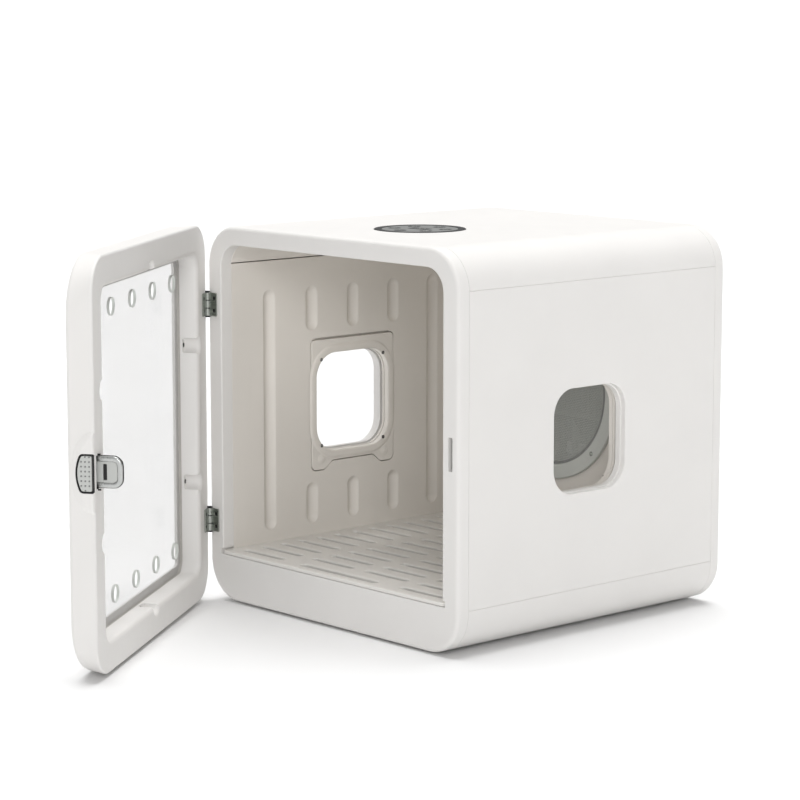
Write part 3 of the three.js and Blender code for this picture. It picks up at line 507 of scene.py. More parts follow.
def circuit_board(name):
    made, tree, shader, place = new_material(name)
    tracks = tree.nodes.new("ShaderNodeTexBrick")
    tracks.inputs["Scale"].default_value = 220
    tracks.inputs["Color1"].default_value = (0.03, 0.16, 0.07, 1)
    tracks.inputs["Color2"].default_value = (0.04, 0.2, 0.09, 1)
    tracks.inputs["Mortar"].default_value = (0.1, 0.32, 0.14, 1)
    tree.links.new(place, tracks.inputs["Vector"])
    tree.links.new(tracks.outputs["Color"], shader.inputs["Base Color"])
    shader.inputs["Roughness"].default_value = 0.35
    return made


SHELL = (0.80, 0.785, 0.765)
LINING = (0.79, 0.755, 0.705)
looks = {
    "shell_white": moulded_plastic("shell_white", SHELL),
    "liner_white": moulded_plastic("liner_white", LINING, grain=900),
    "grate_white": moulded_plastic("grate_white", (0.79, 0.77, 0.735), rough=(0.4, 0.52), grain=900),
    "clear_pane": clear_plastic("clear_pane", 0.035),
    "door_sheet": clear_plastic("door_sheet", 0.19, 0.42),
    "vent_grey": moulded_plastic("vent_grey", (0.60, 0.62, 0.59), rough=(0.4, 0.5)),
    "panel_dark": gloss_plastic("panel_dark", (0.035, 0.036, 0.037), (0.3, 0.42), 0.12),
    "panel_grey": gloss_plastic("panel_grey", (0.24, 0.245, 0.24), (0.32, 0.45), 0.12),
    "steel": metal("steel", (0.40, 0.42, 0.39), (0.22, 0.4)),
    "chrome": metal("chrome", (0.52, 0.53, 0.52), (0.24, 0.36), (30, 700, 30), 0.004),
    "latch_grey": moulded_plastic("latch_grey", (0.53, 0.54, 0.52), (0.34, 0.46), 1500, 0.03),
    # the drip pan's grey here is painted shade: the pan is pale plastic, darkened for the shadow under the grate
    "drip_grey": moulded_plastic("drip_grey", (0.30, 0.285, 0.26)),
    "black_plastic": moulded_plastic("black_plastic", (0.012, 0.012, 0.013), rough=(0.4, 0.55)),
    "filter_foam": foam("filter_foam"),
    "rubber": moulded_plastic("rubber", (0.02, 0.02, 0.02), rough=(0.75, 0.9), specular=0.25),
    "circuit_board": circuit_board("circuit_board"),
}


def dress_cad_nodes():
    """Gives every CAD node the material of its slot, and the drip pan a darker grey: painted shade, as the pan is
    pale plastic darkened for the shadow under the grate.
    """
    for entry in frame["record"]["subparts"]:
        materials = frame["nodes"][entry["node"]].data.materials
        materials.clear()
        materials.append(looks["drip_grey" if entry["node"] == "drip_pan" else entry["material_slot"]])


# ---- casing ----
def about_hinge(profile, steps=40):
    """A lathed shape about the door's own axis."""
    return lathe(profile, (HINGE_X, HINGE_Y), along_z, steps)


def hinge_hollows():
    return [about_hinge(disc_profile(5.4, z - 16, z + 16, 0.4, 2)) for z in HINGE_Z]


def front_frame():
    """The ring round the doorway, with the grate's mouth, strike slot and hinge hollows cut in."""
    doorway = round_rect((-CABIN_X, CABIN_X), (SILL_Z, CABIN_TOP_Z), (2, CABIN_TOP_R, CABIN_TOP_R, 2), 14)
    outside = fillet(ROUND, FRONT_Y, 1, 7) + fillet(SEAM_R, FRAME_BACK_Y, -1, 3)[::-1]
    inside = fillet(1.6, FRONT_Y, 1, 5) + [(0, FRAME_BACK_Y)]
    ring = moulded([box_outline(), doorway], [outside, inside], along_y)
    mouth_z = (SILL_Z - 0.5, GRATE_Z[1] + 2.4)
    mouth = block(grown((-GRATE_X, GRATE_X), 0.7), (FRONT_Y - 6, FRAME_BACK_Y + 6), mouth_z)
    slot_x, slot_z = grown(STRIKE_X, -5), grown(STRIKE_Z, -9)
    slot = plate([round_rect(slot_x, slot_z, 1.5, 4)], FRONT_Y - 1, FRAME_BACK_Y + 1, 0, along_y)
    ring = carved(ring, mouth, slot, *hinge_hollows())
    piece("frame_ring", ring, "shell_white", ["front_frame"], bevel=0.35)


def grate_outline():
    """The grate's outline from above: square at the back, with round front corners."""
    return round_rect((-GRATE_X, GRATE_X), span("floor_grate", Y), (8, 0.8, 0.8, 8), 10)


def bent_sheet(outer, inner, y, edge):
    """A sheet whose section runs along outer and back along inner, both lists of (x, z), pushed along Y."""
    return plate([outer + inner[::-1]], y[0], y[1], edge, along_y, 3)


def upper_path(grow, z0, half=HALF_WIDTH, top=HEIGHT, r=CORNER_R):
    """From the right seam over the top to the left seam; a high seam shortens each corner's arc."""
    x, z, radius = half + grow, top + grow, r + grow
    rise = z0 - (z - radius)
    start = math.degrees(math.asin(max(0.0, rise) / radius))
    right = arc((x - radius, z - radius), radius, start, 90, 22)
    left = arc((radius - x, z - radius), radius, 90, 180 - start, 22)
    if rise >= 0:
        return right + left
    return [(x, z0)] + right + left + [(-x, z0)]


def top_cover():
    shell = bent_sheet(upper_path(0, TOP_SEAM_Z), upper_path(-SKIN, TOP_SEAM_Z), BODY_Y, SEAM_R)
    flare = [(PANEL_R + 0.4 + d, w) for d, w in fillet(0.8, HEIGHT, -1)]
    profile = [(0, HEIGHT + 2), (PANEL_R + 1.2, HEIGHT + 2)] + flare
    profile += [(PANEL_R + 0.4, HEIGHT - 8), (0, HEIGHT - 8)]
    hole = lathe(profile, (0, PANEL_Y), along_z, 96)
    piece("top_shell", carved(shell, hole), "shell_white", ["top_cover"], bevel=0.3)


def base_shell():
    """The lower tray, with a shallow pocket for each foot and two columns of vent slots."""
    flip = lambda path: [(x, HEIGHT - z) for x, z in path][::-1]
    seam = HEIGHT - BASE_SEAM_Z
    shell = bent_sheet(flip(upper_path(0, seam)), flip(upper_path(-SKIN, seam)), BODY_Y, SEAM_R)
    pocket = disc_profile(foot_radius() + 0.6, -2, 2.2, 0.2, 1)
    pockets = [lathe(pocket, at, along_z, 48) for at in foot_places().values()]
    places = [(x, row * 16) for row in range(-2, 3) for x in (-44, 44)]
    vents = [plate([stadium(at, 60, 5)], -1, SKIN + 1, 0, along_z) for at in places]
    piece("base_shell_skin", carved(shell, *pockets, *vents), "shell_white", ["base_shell"], bevel=0.3)


def foot_places():
    names = ["front_left_foot", "front_right_foot", "rear_left_foot", "rear_right_foot"]
    return {name: (middle(span(name, X)), middle(span(name, Y))) for name in names}


def foot_radius():
    low, high = span("front_left_foot", X)
    return (high - low) / 2


def feet():
    """Rubber feet with a soft rim and a dished face."""
    r = foot_radius()
    for name, at in foot_places().items():
        rim = [(r - d, w) for d, w in fillet(1.2, FLOOR_Z, 1)]
        dish = [(0, FLOOR_Z + 0.9), (r - 5, FLOOR_Z + 0.9), (r - 3.6, FLOOR_Z)]
        profile = dish + rim + [(r, 2.0), (0, 2.0)]
        piece(name + "_pad", lathe(profile, at, along_z, 48), "rubber", [name])


def side_panels():
    """The side mouldings: flat trays whose window opening turns in, with a step half way."""
    y = BODY_Y
    z = (BASE_SEAM_Z + 0.16, TOP_SEAM_Z - 0.16)
    rim_x = HALF_WIDTH - 12
    rim = fillet(SEAM_R, HALF_WIDTH, -1, 3) + [(0, rim_x), (SKIN, rim_x), (SKIN, HALF_WIDTH - SKIN)]
    step_x = HALF_WIDTH - 7
    opening = fillet(1.3, HALF_WIDTH, -1, 5) + [(0, step_x + 0.5), (-0.15, step_x + 0.15), (-0.5, step_x)]
    seat_x = PANE_X[1] + 0.15
    opening += [(-1.0, step_x), (-1.35, step_x - 0.15), (-1.5, step_x - 0.5), (-1.5, seat_x)]
    opening += [(SKIN, seat_x), (SKIN, HALF_WIDTH - SKIN)]
    for side, word in ((-1, "left"), (1, "right")):
        outline = round_rect(y, z, 0.8, 3)
        mesh = moulded([outline, window_outline()], [rim, opening], along_x(side))
        if side > 0:
            notch = block((rim_x - 1, 209), (y[0] - 1, y[0] + SKIN + 1), grown(STRIKE_Z, -5))
            mesh = carved(mesh, notch)
        piece(word + "_side_shell", mesh, "shell_white", [word + "_panel"])


def rear_cover():
    """The rear cap with its intake opening and the power inlet's cut-out."""
    outside = fillet(ROUND, REAR_Y, -1, 7) + fillet(SEAM_R, COVER_Y, 1, 3)[::-1]
    outside += [(SKIN, COVER_Y), (SKIN, REAR_Y - SKIN)]
    intake = round_rect(grown(INTAKE_X, 0.4), grown(INTAKE_Z, 0.4), INTAKE_R, 10)
    around = fillet(1.2, REAR_Y, -1, 4) + [(0, COVER_Y + 2), (SKIN, COVER_Y + 2), (SKIN, REAR_Y - SKIN)]
    socket = round_rect(grown(INLET_X, -2.6), grown(INLET_Z, -2.6), 1, 3)
    cut = [(0.3, REAR_Y), (0, REAR_Y - 0.3), (0, REAR_Y - SKIN)]
    mesh = moulded([box_outline(), intake, socket], [outside, around, cut], along_y)
    piece("rear_shell", mesh, "shell_white", ["rear_cover"])


# ---- screws ----
def cross_screw(at, place, r, head=0.9, proud=0.5):
    """A low domed screw head with a cross recess, its top facing the place function's far end."""
    dome = [(0, proud), (r * 0.5, proud * 0.92), (r * 0.85, proud * 0.62), (r, proud * 0.2)]
    dome += [(r, -head), (0, -head)]
    body = lathe(dome, (0, 0), along_z, 24)
    arms = [
        plate([[(-a, -b), (a, -b), (a, b), (-a, b)]], proud - r * 0.42, proud + 1, 0, along_z)
        for a, b in ((r * 0.62, r * 0.15), (r * 0.15, r * 0.62))
    ]
    mesh = carved(body, *arms)
    for vertex in mesh.vertices:
        u, v, w = vertex.co / MM
        vertex.co = Vector(place(at[0] + u, at[1] + v, w)) * MM
    return faced_out(mesh)


# ---- lining ----
GROOVE_WIDE = 19
GROOVE_DEEP = 5.0
GROOVE_Y = [-141.5, -74.7, -8, 58.8, 125.5]
LONG_GROOVE = (74.5, 368)
SHORT_GROOVES = [(74.5, 125), (313.5, 368)]
TRIM_Y = (-75.5, 58)
TRIM_Z = (149.5, 300.5)
TRIM_LOBE_Z = 139.2


def smooth(t):
    t = min(1.0, max(0.0, t))
    return t * t * (3 - 2 * t)


def groove_depth(y, z):
    """How deep the pressed grooves are at a point of the side lining."""
    half = GROOVE_WIDE / 2
    for i, at in enumerate(GROOVE_Y):
        if abs(y - at) > half:
            continue
        for low, high in [LONG_GROOVE] if i in (0, 4) else SHORT_GROOVES:
            beyond = max(low + half - z, z - high + half, 0)
            reach = math.hypot(y - at, beyond)
            if reach < half:
                return GROOVE_DEEP * (1 - (reach / half) ** 2) ** 1.2
    return 0.0


def soft_rim(distance):
    """How far a rounded rim falls away at a distance from the edge."""
    r = 0.6
    return r - math.sqrt(max(0.0, r * r - (r - min(distance, r)) ** 2))


def stations(low, high, centres, reach, fine, coarse):
    """Places between two ends, close together near the given centres."""
    places = [low, low + 0.15, low + 0.35, low + 0.6, high - 0.6, high - 0.35, high - 0.15, high]
    count = int((high - low) / coarse)
    places += [low + (high - low) * i / count for i in range(1, count)]
    for c in centres:
        steps = int(2 * reach / fine)
        places += [c - reach + i * fine for i in range(steps + 1)]
    places = sorted(p for p in places if low <= p <= high)
    kept = [places[0]]
    for p in places[1:]:
        if p - kept[-1] > 0.12:
            kept.append(p)
    kept[-1] = high
    return kept


def side_liners():
    """The cabin's side walls with soft vertical grooves and a shallow bed for the window's plate."""
    y_range = (BODY_Y[0], BACK_WALL_Y - 0.3)
    z_range = (LINER_Z[0], LINER_Z[1] - 0.5)
    ends = [v for pair in SHORT_GROOVES for v in pair]
    near_ends = [e + (4.5 if e in (74.5, 313.5) else -4.5) for e in ends]
    columns = stations(*y_range, GROOVE_Y, 10, 0.8, 12)
    rows = stations(*z_range, near_ends, 6, 0.9, 14)
    for side, word in ((-1, "left"), (1, "right")):
        wall = relief_wall(columns, rows, side)
        bed = plate([trim_outline(1.3)], CABIN_X - 1, CABIN_X + 5.5, 0, along_x(side))
        top_gap = plate([round_rect(grown(TRIM_Y, -6), (TRIM_Z[1] - 4, TRIM_Z[1] + 2.6), 0.5, 3)],
                        CABIN_X - 1, CABIN_X + 5.8, 0, along_x(side))
        hole = plate([window_outline()], CABIN_X - 2, CABIN_X + 10, 0, along_x(side))
        rings = [window_outline(5), window_outline()]
        collar = plate(rings, CABIN_X + 8, PANE_X[0] - 0.1, 0, along_x(side))
        mesh = together(carved(wall, bed, top_gap, hole), collar)
        piece(word + "_lining", mesh, "liner_white", [word + "_liner"], crease=28)


def relief_wall(columns, rows, side):
    """A slab whose inner face follows the grooves."""
    back = CABIN_X + 8.6
    y0, y1, z0, z1 = columns[0], columns[-1], rows[0], rows[-1]

    def face(y, z):
        rim = soft_rim(min(y - y0, y1 - y, z - z0, z1 - z))
        return CABIN_X + rim + groove_depth(y, z)

    across = len(columns)
    points = [(side * face(y, z), y, z) for z in rows for y in columns]
    offset = len(points)
    points += [(side * back, y, z) for z in rows for y in columns]
    faces = []
    for j in range(len(rows) - 1):
        for i in range(across - 1):
            a = j * across + i
            quad = (a, a + 1, a + across + 1, a + across)
            faces.append(quad)
            faces.append(tuple(offset + k for k in quad[::-1]))
    rim = list(range(across - 1)) + [across - 1 + j * across for j in range(len(rows) - 1)]
    rim += [(len(rows) - 1) * across + i for i in range(across - 1, 0, -1)]
    rim += [j * across for j in range(len(rows) - 1, 0, -1)]
    for i, a in enumerate(rim):
        b = rim[(i + 1) % len(rim)]
        faces.append((a, offset + a, offset + b, b))
    return solid(points, faces)


def trim_outline(grow):
    """The window plate's outline: square shoulders above and two lobes below, joined by smooth bends."""
    c = middle(TRIM_Y)
    y0, y1 = grown(TRIM_Y, grow)
    lobe, waist = TRIM_LOBE_Z - grow, TRIM_Z[0] - grow
    near, far = 31, 48
    bend = [(near + (far - near) * i / 14, waist + (lobe - waist) * smooth(i / 14)) for i in range(15)]
    left = [(c - u - grow * 0.4, z) for u, z in bend[::-1]]
    right = [(c + u + grow * 0.4, z) for u, z in bend]
    r_low, r_top = 7 + grow, 5 + grow
    loop = arc((y0 + r_low, lobe + r_low), r_low, 180, 270, 8) + left + right
    loop += arc((y1 - r_low, lobe + r_low), r_low, 270, 360, 8)
    loop += arc((y1 - r_top, TRIM_Z[1] + grow - r_top), r_top, 0, 90, 8)
    loop += arc((y0 + r_top, TRIM_Z[1] + grow - r_top), r_top, 90, 180, 8)
    return [p for i, p in enumerate(loop) if math.dist(p, loop[i - 1]) > 1e-4]


def window_trims():
    """The plate that holds each window pane, with a raised rolled lip and four screws at its corners."""
    face = CABIN_X - 1.1
    lip = [(11.5, face), (10.6, face - 0.25), (9.6, face - 0.9), (8.4, face - 1.35), (6.5, face - 1.5)]
    lip += [(3.2, face - 1.5), (1.8, face - 1.25), (0.9, face - 0.6), (0.6, face + 0.4)]
    lip += [(0.6, CABIN_X + 4.4)]
    edge = fillet(0.8, face, 1) + [(0, CABIN_X + 4.4)]
    yc, zc = middle(WINDOW_Y), middle(WINDOW_Z)
    for side, word in ((-1, "left"), (1, "right")):
        mesh = moulded([trim_outline(0), window_outline()], [edge, lip], along_x(side))
        corners = [(yc + sy * 50.6, zc + sz * 53.4) for sy in (-1, 1) for sz in (-1, 1)]
        wells = [plate([circle(at, 2.7, 24)], face - 4, face - 0.2, 0, along_x(side)) for at in corners]
        mesh = carved(mesh, *wells)
        piece(word + "_window_plate", mesh, "liner_white", [word + "_window_trim"], bevel=0.25)
        up = lambda u, v, w, s=side: (s * (face - 0.4 - w), u, v)
        screws = [cross_screw(at, up, 2.1) for at in corners]
        piece(word + "_window_screws", together(*screws), "black_plastic")
        lobes = [(TRIM_Y[0] + 15, TRIM_LOBE_Z + 13), (TRIM_Y[1] - 15, TRIM_LOBE_Z + 13)]
        domes = [
            lathe([(0, 0.9), (2.5, 0.8), (4.5, 0.45), (6.2, 0.1), (7, -0.2), (0, -0.2)], at,
                  lambda u, v, w, s=side: (s * (face - w), u, v), 36)
            for at in lobes
        ]
        piece(word + "_window_plate_domes", together(*domes), "liner_white")


def window_panes():
    for side, word in ((-1, "left"), (1, "right")):
        mesh = plate([window_outline(PANE_GROW)], PANE_X[0], PANE_X[1], 0.4, along_x(side), 2)
        piece(word + "_window_sheet", mesh, "clear_pane", [word + "_window_pane"])


def upper_liner():
    y = (BODY_Y[0], BACK_WALL_Y - 0.3)
    z = TOP_SEAM_Z + 0.5
    inner = upper_path(0, z, CABIN_X, CABIN_TOP_Z, CABIN_TOP_R)
    outer = upper_path(2.5, z, CABIN_X, CABIN_TOP_Z, CABIN_TOP_R)
    piece("ceiling_lining", bent_sheet(outer, inner, y, 0.5), "liner_white", ["upper_liner"])


# ---- floor grate ----
FINGER_SLOT = (133, 10)
FINGER_SLOT_Y = -198
GRATE_SLOT = (73, 8.4)
SLOT_FIRST_Y = -195
SLOT_PITCH = (93, 28.75)
SLOT_ROWS = 12


def floor_grate():
    """A plate with rows of soft-edged slots and a longer slot at the front to pull it by."""
    slots = [stadium((0, FINGER_SLOT_Y), *FINGER_SLOT, 8)]
    for row in range(SLOT_ROWS):
        for column in (-1.5, -0.5, 0.5, 1.5):
            if row == 0 and abs(column) < 1:
                continue
            at = (column * SLOT_PITCH[0], SLOT_FIRST_Y + row * SLOT_PITCH[1])
            slots.append(stadium(at, *GRATE_SLOT, 8))
    outside = fillet(1.4, GRATE_Z[1], -1, 5) + [(0, GRATE_Z[0])]
    slot_wall = fillet(1.7, GRATE_Z[1], -1, 5) + [(0, GRATE_Z[0])]
    mesh = moulded([grate_outline()] + slots, [outside] + [slot_wall] * len(slots), along_z)
    piece("grate_plate", mesh, "grate_white", ["floor_grate"], body="grate")
    grate_gap_shade()


def grate_gap_shade():
    """Two thin dark strips in the cabin's walls, from just above the grate's top to just above the lining's lower
    edge: painted shade in the gap there.
    """
    y = (BODY_Y[0] + 1, BACK_WALL_Y - 2)
    strips = []
    for side in (-1, 1):
        x = sorted((side * (CABIN_X + 1.2), side * (CABIN_X + 3)))
        # dark rubber strips set back in the gap: painted shade under the lining's edge
        strips.append(block(x, y, (GRATE_Z[1] + 0.3, LINER_Z[0] + 0.5)))
    piece("grate_side_seals", together(*strips), "rubber")


# ---- warm air outlet ----
def outlet():
    """The grey ring on the back wall, a dark ring round the mesh's edge that paints the shade of the gap there,
    its screws and the woven wire mesh behind it.
    """
    face = span("outlet_ring", Y)[0]
    back = BACK_WALL_Y - 0.3
    centre = (0, OUTLET_Z)
    outer = [(OUTLET_R - d, w) for d, w in fillet(1.6, face, 1)] + [(OUTLET_R, back), (OUTLET_OPEN_R, back)]
    dish = [(OUTLET_OPEN_R + d, face + w) for d, w in ((0, 1.8), (0.4, 0.9), (1.4, 0.3), (3, 0.1))]
    dish.append((OUTLET_R - 4, face))
    piece("outlet_bezel", lathe(outer + dish, centre, along_y, 128), "vent_grey", ["outlet_ring"])
    # a dark grey ring behind the bezel's lip: painted shade for the gap between the mesh and the bezel
    gap_shade_ring = ring_profile(OUTLET_OPEN_R - 3.4, OUTLET_OPEN_R - 0.1, back - 3.2, back - 0.9, 0.3, 2)
    piece("outlet_gasket", lathe(gap_shade_ring, centre, along_y, 128), "panel_grey")
    toward = lambda u, v, w: (u, face - w, v)
    screw_r = (OUTLET_R + OUTLET_OPEN_R) / 2
    spots = arc(centre, screw_r, 45, 315, 3)
    piece("outlet_screws", together(*[cross_screw(at, toward, 3) for at in spots]), "steel")
    mesh = wire_mesh(centre, OUTLET_OPEN_R - 1, back - 1.6)
    piece("outlet_wire_mesh", mesh, "vent_grey", ["outlet_mesh"])


def wire_mesh(centre, radius, y):
    """Wires woven over and under each other at a small pitch, cut off at a circle."""
    pitch, r = 2.1, 0.56
    section = [(r * math.cos(a), r * math.sin(a)) for a in (math.radians(45 + 90 * i) for i in range(4))]
    wires = []
    count = int(radius / pitch)
    for i in range(-count, count + 1):
        half = math.sqrt(max(0, radius ** 2 - (i * pitch) ** 2))
        ticks = int(half / (pitch / 2))
        if ticks < 2:
            continue
        for lying in (True, False):
            path = []
            for t in range(-ticks, ticks + 1):
                along = t * pitch / 2
                wave = math.cos(math.pi * (along / pitch + i)) * (0.5 if lying else -0.5)
                u, v = (along, i * pitch) if lying else (i * pitch, along)
                path.append((centre[0] + u, y + wave, centre[1] + v))
            wires.append(sweep(path, section, (0, 1, 0)))
    return together(*wires)


# ---- control panel ----
def control_panel():
    """A dark glossy ring round a grey touch disc with dark touch spots and plain symbols."""
    top = span("panel_bezel", Z)[1]
    centre = (0, PANEL_Y)
    touch_top = span("touch_panel", Z)[1]
    ring = ring_profile(TOUCH_R + 0.3, PANEL_R, top - 6, top, 0.6, 4)
    piece("panel_ring", lathe(ring, centre, along_z, 128), "panel_dark", ["panel_bezel"])
    disc = [(0, touch_top)] + [(TOUCH_R - d, w) for d, w in fillet(0.4, touch_top, -1, 3)]
    disc += [(TOUCH_R, touch_top - 4), (0, touch_top - 4)]
    piece("touch_disc", lathe(disc, centre, along_z, 128), "panel_grey", ["touch_panel"])
    spots, symbols = [], []
    for i in range(6):
        a = math.radians(30 + 60 * i)
        at = (31 * math.cos(a), PANEL_Y + 31 * math.sin(a))
        spots.append(lathe(disc_profile(7.4, touch_top - 0.3, touch_top + 0.12, 0.1, 2), at, along_z, 48))
        symbols += symbol(i, at, touch_top + 0.12)
    display = round_rect((-15, 15), (PANEL_Y - 7.5, PANEL_Y + 7.5), 3, 8)
    spots.append(plate([display], touch_top - 0.3, touch_top + 0.12, 0.1, along_z, 2))
    symbols += digits("30", (0, PANEL_Y), touch_top + 0.12)
    piece("touch_spots", together(*spots), "panel_dark")
    piece("touch_symbols", together(*symbols), "latch_grey")


SYMBOL_THICK = 0.12


def bar(at, long, wide, turn, z):
    """A small flat bar for a symbol, turned in degrees."""
    c, s = math.cos(math.radians(turn)), math.sin(math.radians(turn))
    corners = round_rect((-long / 2, long / 2), (-wide / 2, wide / 2), wide * 0.45, 3)
    loop = [(at[0] + u * c - v * s, at[1] + u * s + v * c) for u, v in corners]
    return plate([loop], z - 0.05, z + SYMBOL_THICK, 0, along_z)


def bow(at, r, start, end, wide, z):
    """A flat arc for a symbol."""
    loop = arc(at, r + wide / 2, start, end, 20) + arc(at, r - wide / 2, end, start, 20)
    return plate([loop], z - 0.05, z + SYMBOL_THICK, 0, along_z)


def symbol(kind, at, z):
    """Plain symbols: power, more, fan, light, less, timer."""
    x, y = at
    if kind == 0:
        return [bow(at, 3, 120, 420, 0.8, z), bar((x, y + 2.6), 3, 0.8, 90, z)]
    if kind == 1:
        return [bar(at, 6, 0.8, 0, z), bar(at, 6, 0.8, 90, z)]
    if kind == 2:
        return [bow((x + 1.6 * math.cos(a), y + 1.6 * math.sin(a)), 1.5, math.degrees(a) - 60,
                    math.degrees(a) + 150, 0.8, z) for a in (0.5, 2.6, 4.7)]
    if kind == 3:
        rays = [bar((x + 3.6 * math.cos(a), y + 3.6 * math.sin(a)), 1.4, 0.6, math.degrees(a), z)
                for a in (math.pi / 4 * i for i in range(8))]
        return rays + [bow(at, 1.7, 0, 350, 0.7, z)]
    if kind == 4:
        return [bar(at, 6, 0.8, 0, z)]
    return [bow(at, 3.2, 0, 350, 0.7, z), bar((x, y + 1), 2, 0.6, 90, z), bar((x + 0.8, y), 1.8, 0.6, 0, z)]


SEGMENTS = {"0": "abcdef", "3": "abcdg"}


def digits(text, at, z):
    """Seven-segment figures."""
    made = []
    places = {"a": (0, 4, 0), "b": (2, 2, 90), "c": (2, -2, 90), "d": (0, -4, 0), "e": (-2, -2, 90),
              "f": (-2, 2, 90), "g": (0, 0, 0)}
    for i, figure in enumerate(text):
        x = at[0] + (i - (len(text) - 1) / 2) * 8
        for name in SEGMENTS[figure]:
            u, v, turn = places[name]
            made.append(bar((x + u, at[1] + v), 3.2, 0.7, turn, z))
    return made


# ---- rear details ----
BLADE = [(-7.4, 2.8), (-7.4, 3.4), (-6.2, 3.4), (0.1, -2.4), (0.1, -3.0), (-0.6, -3.2)]


def intake():
    """The louvred cover of the intake: slanted blades in a frame of two fields, and the foam behind."""
    x, z = grown(INTAKE_X, -0.1), grown(INTAKE_Z, -0.1)
    plate_loop = round_rect(x, z, INTAKE_R - 0.5, 10)
    fields = [round_rect(f, (z[0] + 12, z[1] - 12), 3, 5) for f in ((x[0] + 12, -3), (3, x[1] - 12))]
    outside = fillet(0.9, REAR_Y + 0.4, -1) + [(0, REAR_Y - 9)]
    holes = fillet(0.7, REAR_Y + 0.4, -1, 3) + [(0, REAR_Y - 9)]
    frame_mesh = moulded([plate_loop] + fields, [outside, holes, holes], along_y)
    blades = []
    pitch = 9.5
    count = int((z[1] - z[0] - 26) / pitch)
    for field in ((x[0] + 11.5, -2.5), (2.5, x[1] - 11.5)):
        for i in range(count + 1):
            at = z[0] + 14.5 + i * (z[1] - z[0] - 29) / count
            loop = [(REAR_Y + u, at + v) for u, v in BLADE]
            blades.append(plate([loop], field[0], field[1], 0, along_x()))
    piece("intake_grille", together(frame_mesh, *blades), "shell_white", ["filter_cover"],
          body="intake_filter", bevel=0.2)
    loop = round_rect(grown(x, -3), grown(z, -3), 10, 6)
    pad = plate([loop], REAR_Y - 9.6, REAR_Y - 7.7, 0.4, along_y, 2)
    piece("intake_foam", pad, "filter_foam", ["filter_pad"], body="intake_filter")


def rear_screws():
    """Screws in low collars near the rear cover's corners."""
    spots = [(sx * 178, z) for sx in (-1, 1) for z in (40, HEIGHT - 40)]
    toward = lambda u, v, w: (u, REAR_Y + w, v)
    collar = ring_profile(4.2, 6.4, REAR_Y - 0.3, REAR_Y + 0.45, 0.3, 3)
    rings = [lathe(collar, at, along_y, 48) for at in spots]
    piece("rear_screw_collars", together(*rings), "shell_white")
    piece("rear_screws", together(*[cross_screw(at, toward, 3.4, 0.3, 0.6) for at in spots]), "steel")


def power_inlet():
    """An appliance inlet: a flanged shroud with chamfered corners and three flat pins."""
    x, z = INLET_X, INLET_Z
    face = span("power_inlet", Y)[1]
    flange = round_rect(x, z, 2.2, 6)
    (x0, x1), (z0, z1) = grown(x, -6.2), grown(z, -5.4)
    cavity = [(x0, z0), (x1, z0), (x1, z1 - 4), (x1 - 4, z1), (x0 + 4, z1), (x0, z1 - 4)]
    outside = fillet(0.7, face, -1, 3) + [(0, face - 1.7), (3.3, face - 1.7), (3.3, face - 20)]
    hole = [(0.5, face), (0, face - 0.5), (0, face - 20)]
    shroud = moulded([flange, cavity], [outside, hole], along_y)
    floor = plate([inset(cavity, -0.6)], face - 20, face - 16, 0, along_y)
    piece("inlet_shroud", together(shroud, floor), "black_plastic", ["power_inlet"], bevel=0.2)
    cx, cz = middle(x), middle(z)
    pins = [
        plate([round_rect((cx + d - 0.9, cx + d + 0.9), (cz + e - 1.8, cz + e + 1.8), 0.4, 3)],
              face - 17, face - 5, 0.4, along_y, 2)
        for d, e in ((-5.6, -1.6), (0, 1.4), (5.6, -1.6))
    ]
    piece("inlet_pins", together(*pins), "chrome")


# ---- door ----
PADDLE_Z = (LATCH_Z - 19, LATCH_Z + 19)
PADDLE_Y = (DOOR_IN_Y - 18.4, DOOR_IN_Y - 2.4)
PAD_Z = (LATCH_Z - 43, LATCH_Z + 43)
PAD_PROUD = 3
PAD_DEEP = 25
SCOOP_R = 9
SCOOP_Z = [145, 309]


def door_outline(y):
    """The door's outline at one depth, with extra points down the free edge, for the latch's pad."""
    r = CORNER_R + 3 + DOOR_CORNER_SPREAD * (DOOR_OUT_Y + DOOR_THICK / 2 - y) / DOOR_THICK
    loop = round_rect((-HALF_WIDTH, HALF_WIDTH), (DOOR_LIFT, HEIGHT + DOOR_LIFT), r, 20)
    after_first_corner = 21
    low, high = loop[after_first_corner - 1], loop[after_first_corner]
    steps = 260
    edge = [(FREE_X, low[1] + (high[1] - low[1]) * k / steps) for k in range(1, steps)]
    return loop[:after_first_corner] + edge + loop[after_first_corner:]


def pad_swell(y, z):
    """How far the free edge swells out round the latch, in a D with its straight side at the inner face."""
    half = PAD_Z[1] - LATCH_Z
    along = abs(z - LATCH_Z) / half
    if along >= 1:
        return 0.0
    inside = PAD_DEEP * (1 - along ** 2.6) ** 0.5 - (DOOR_IN_Y - y)
    return PAD_PROUD * (0.24 * smooth(inside / 1.1) + 0.76 * smooth(inside / 9))


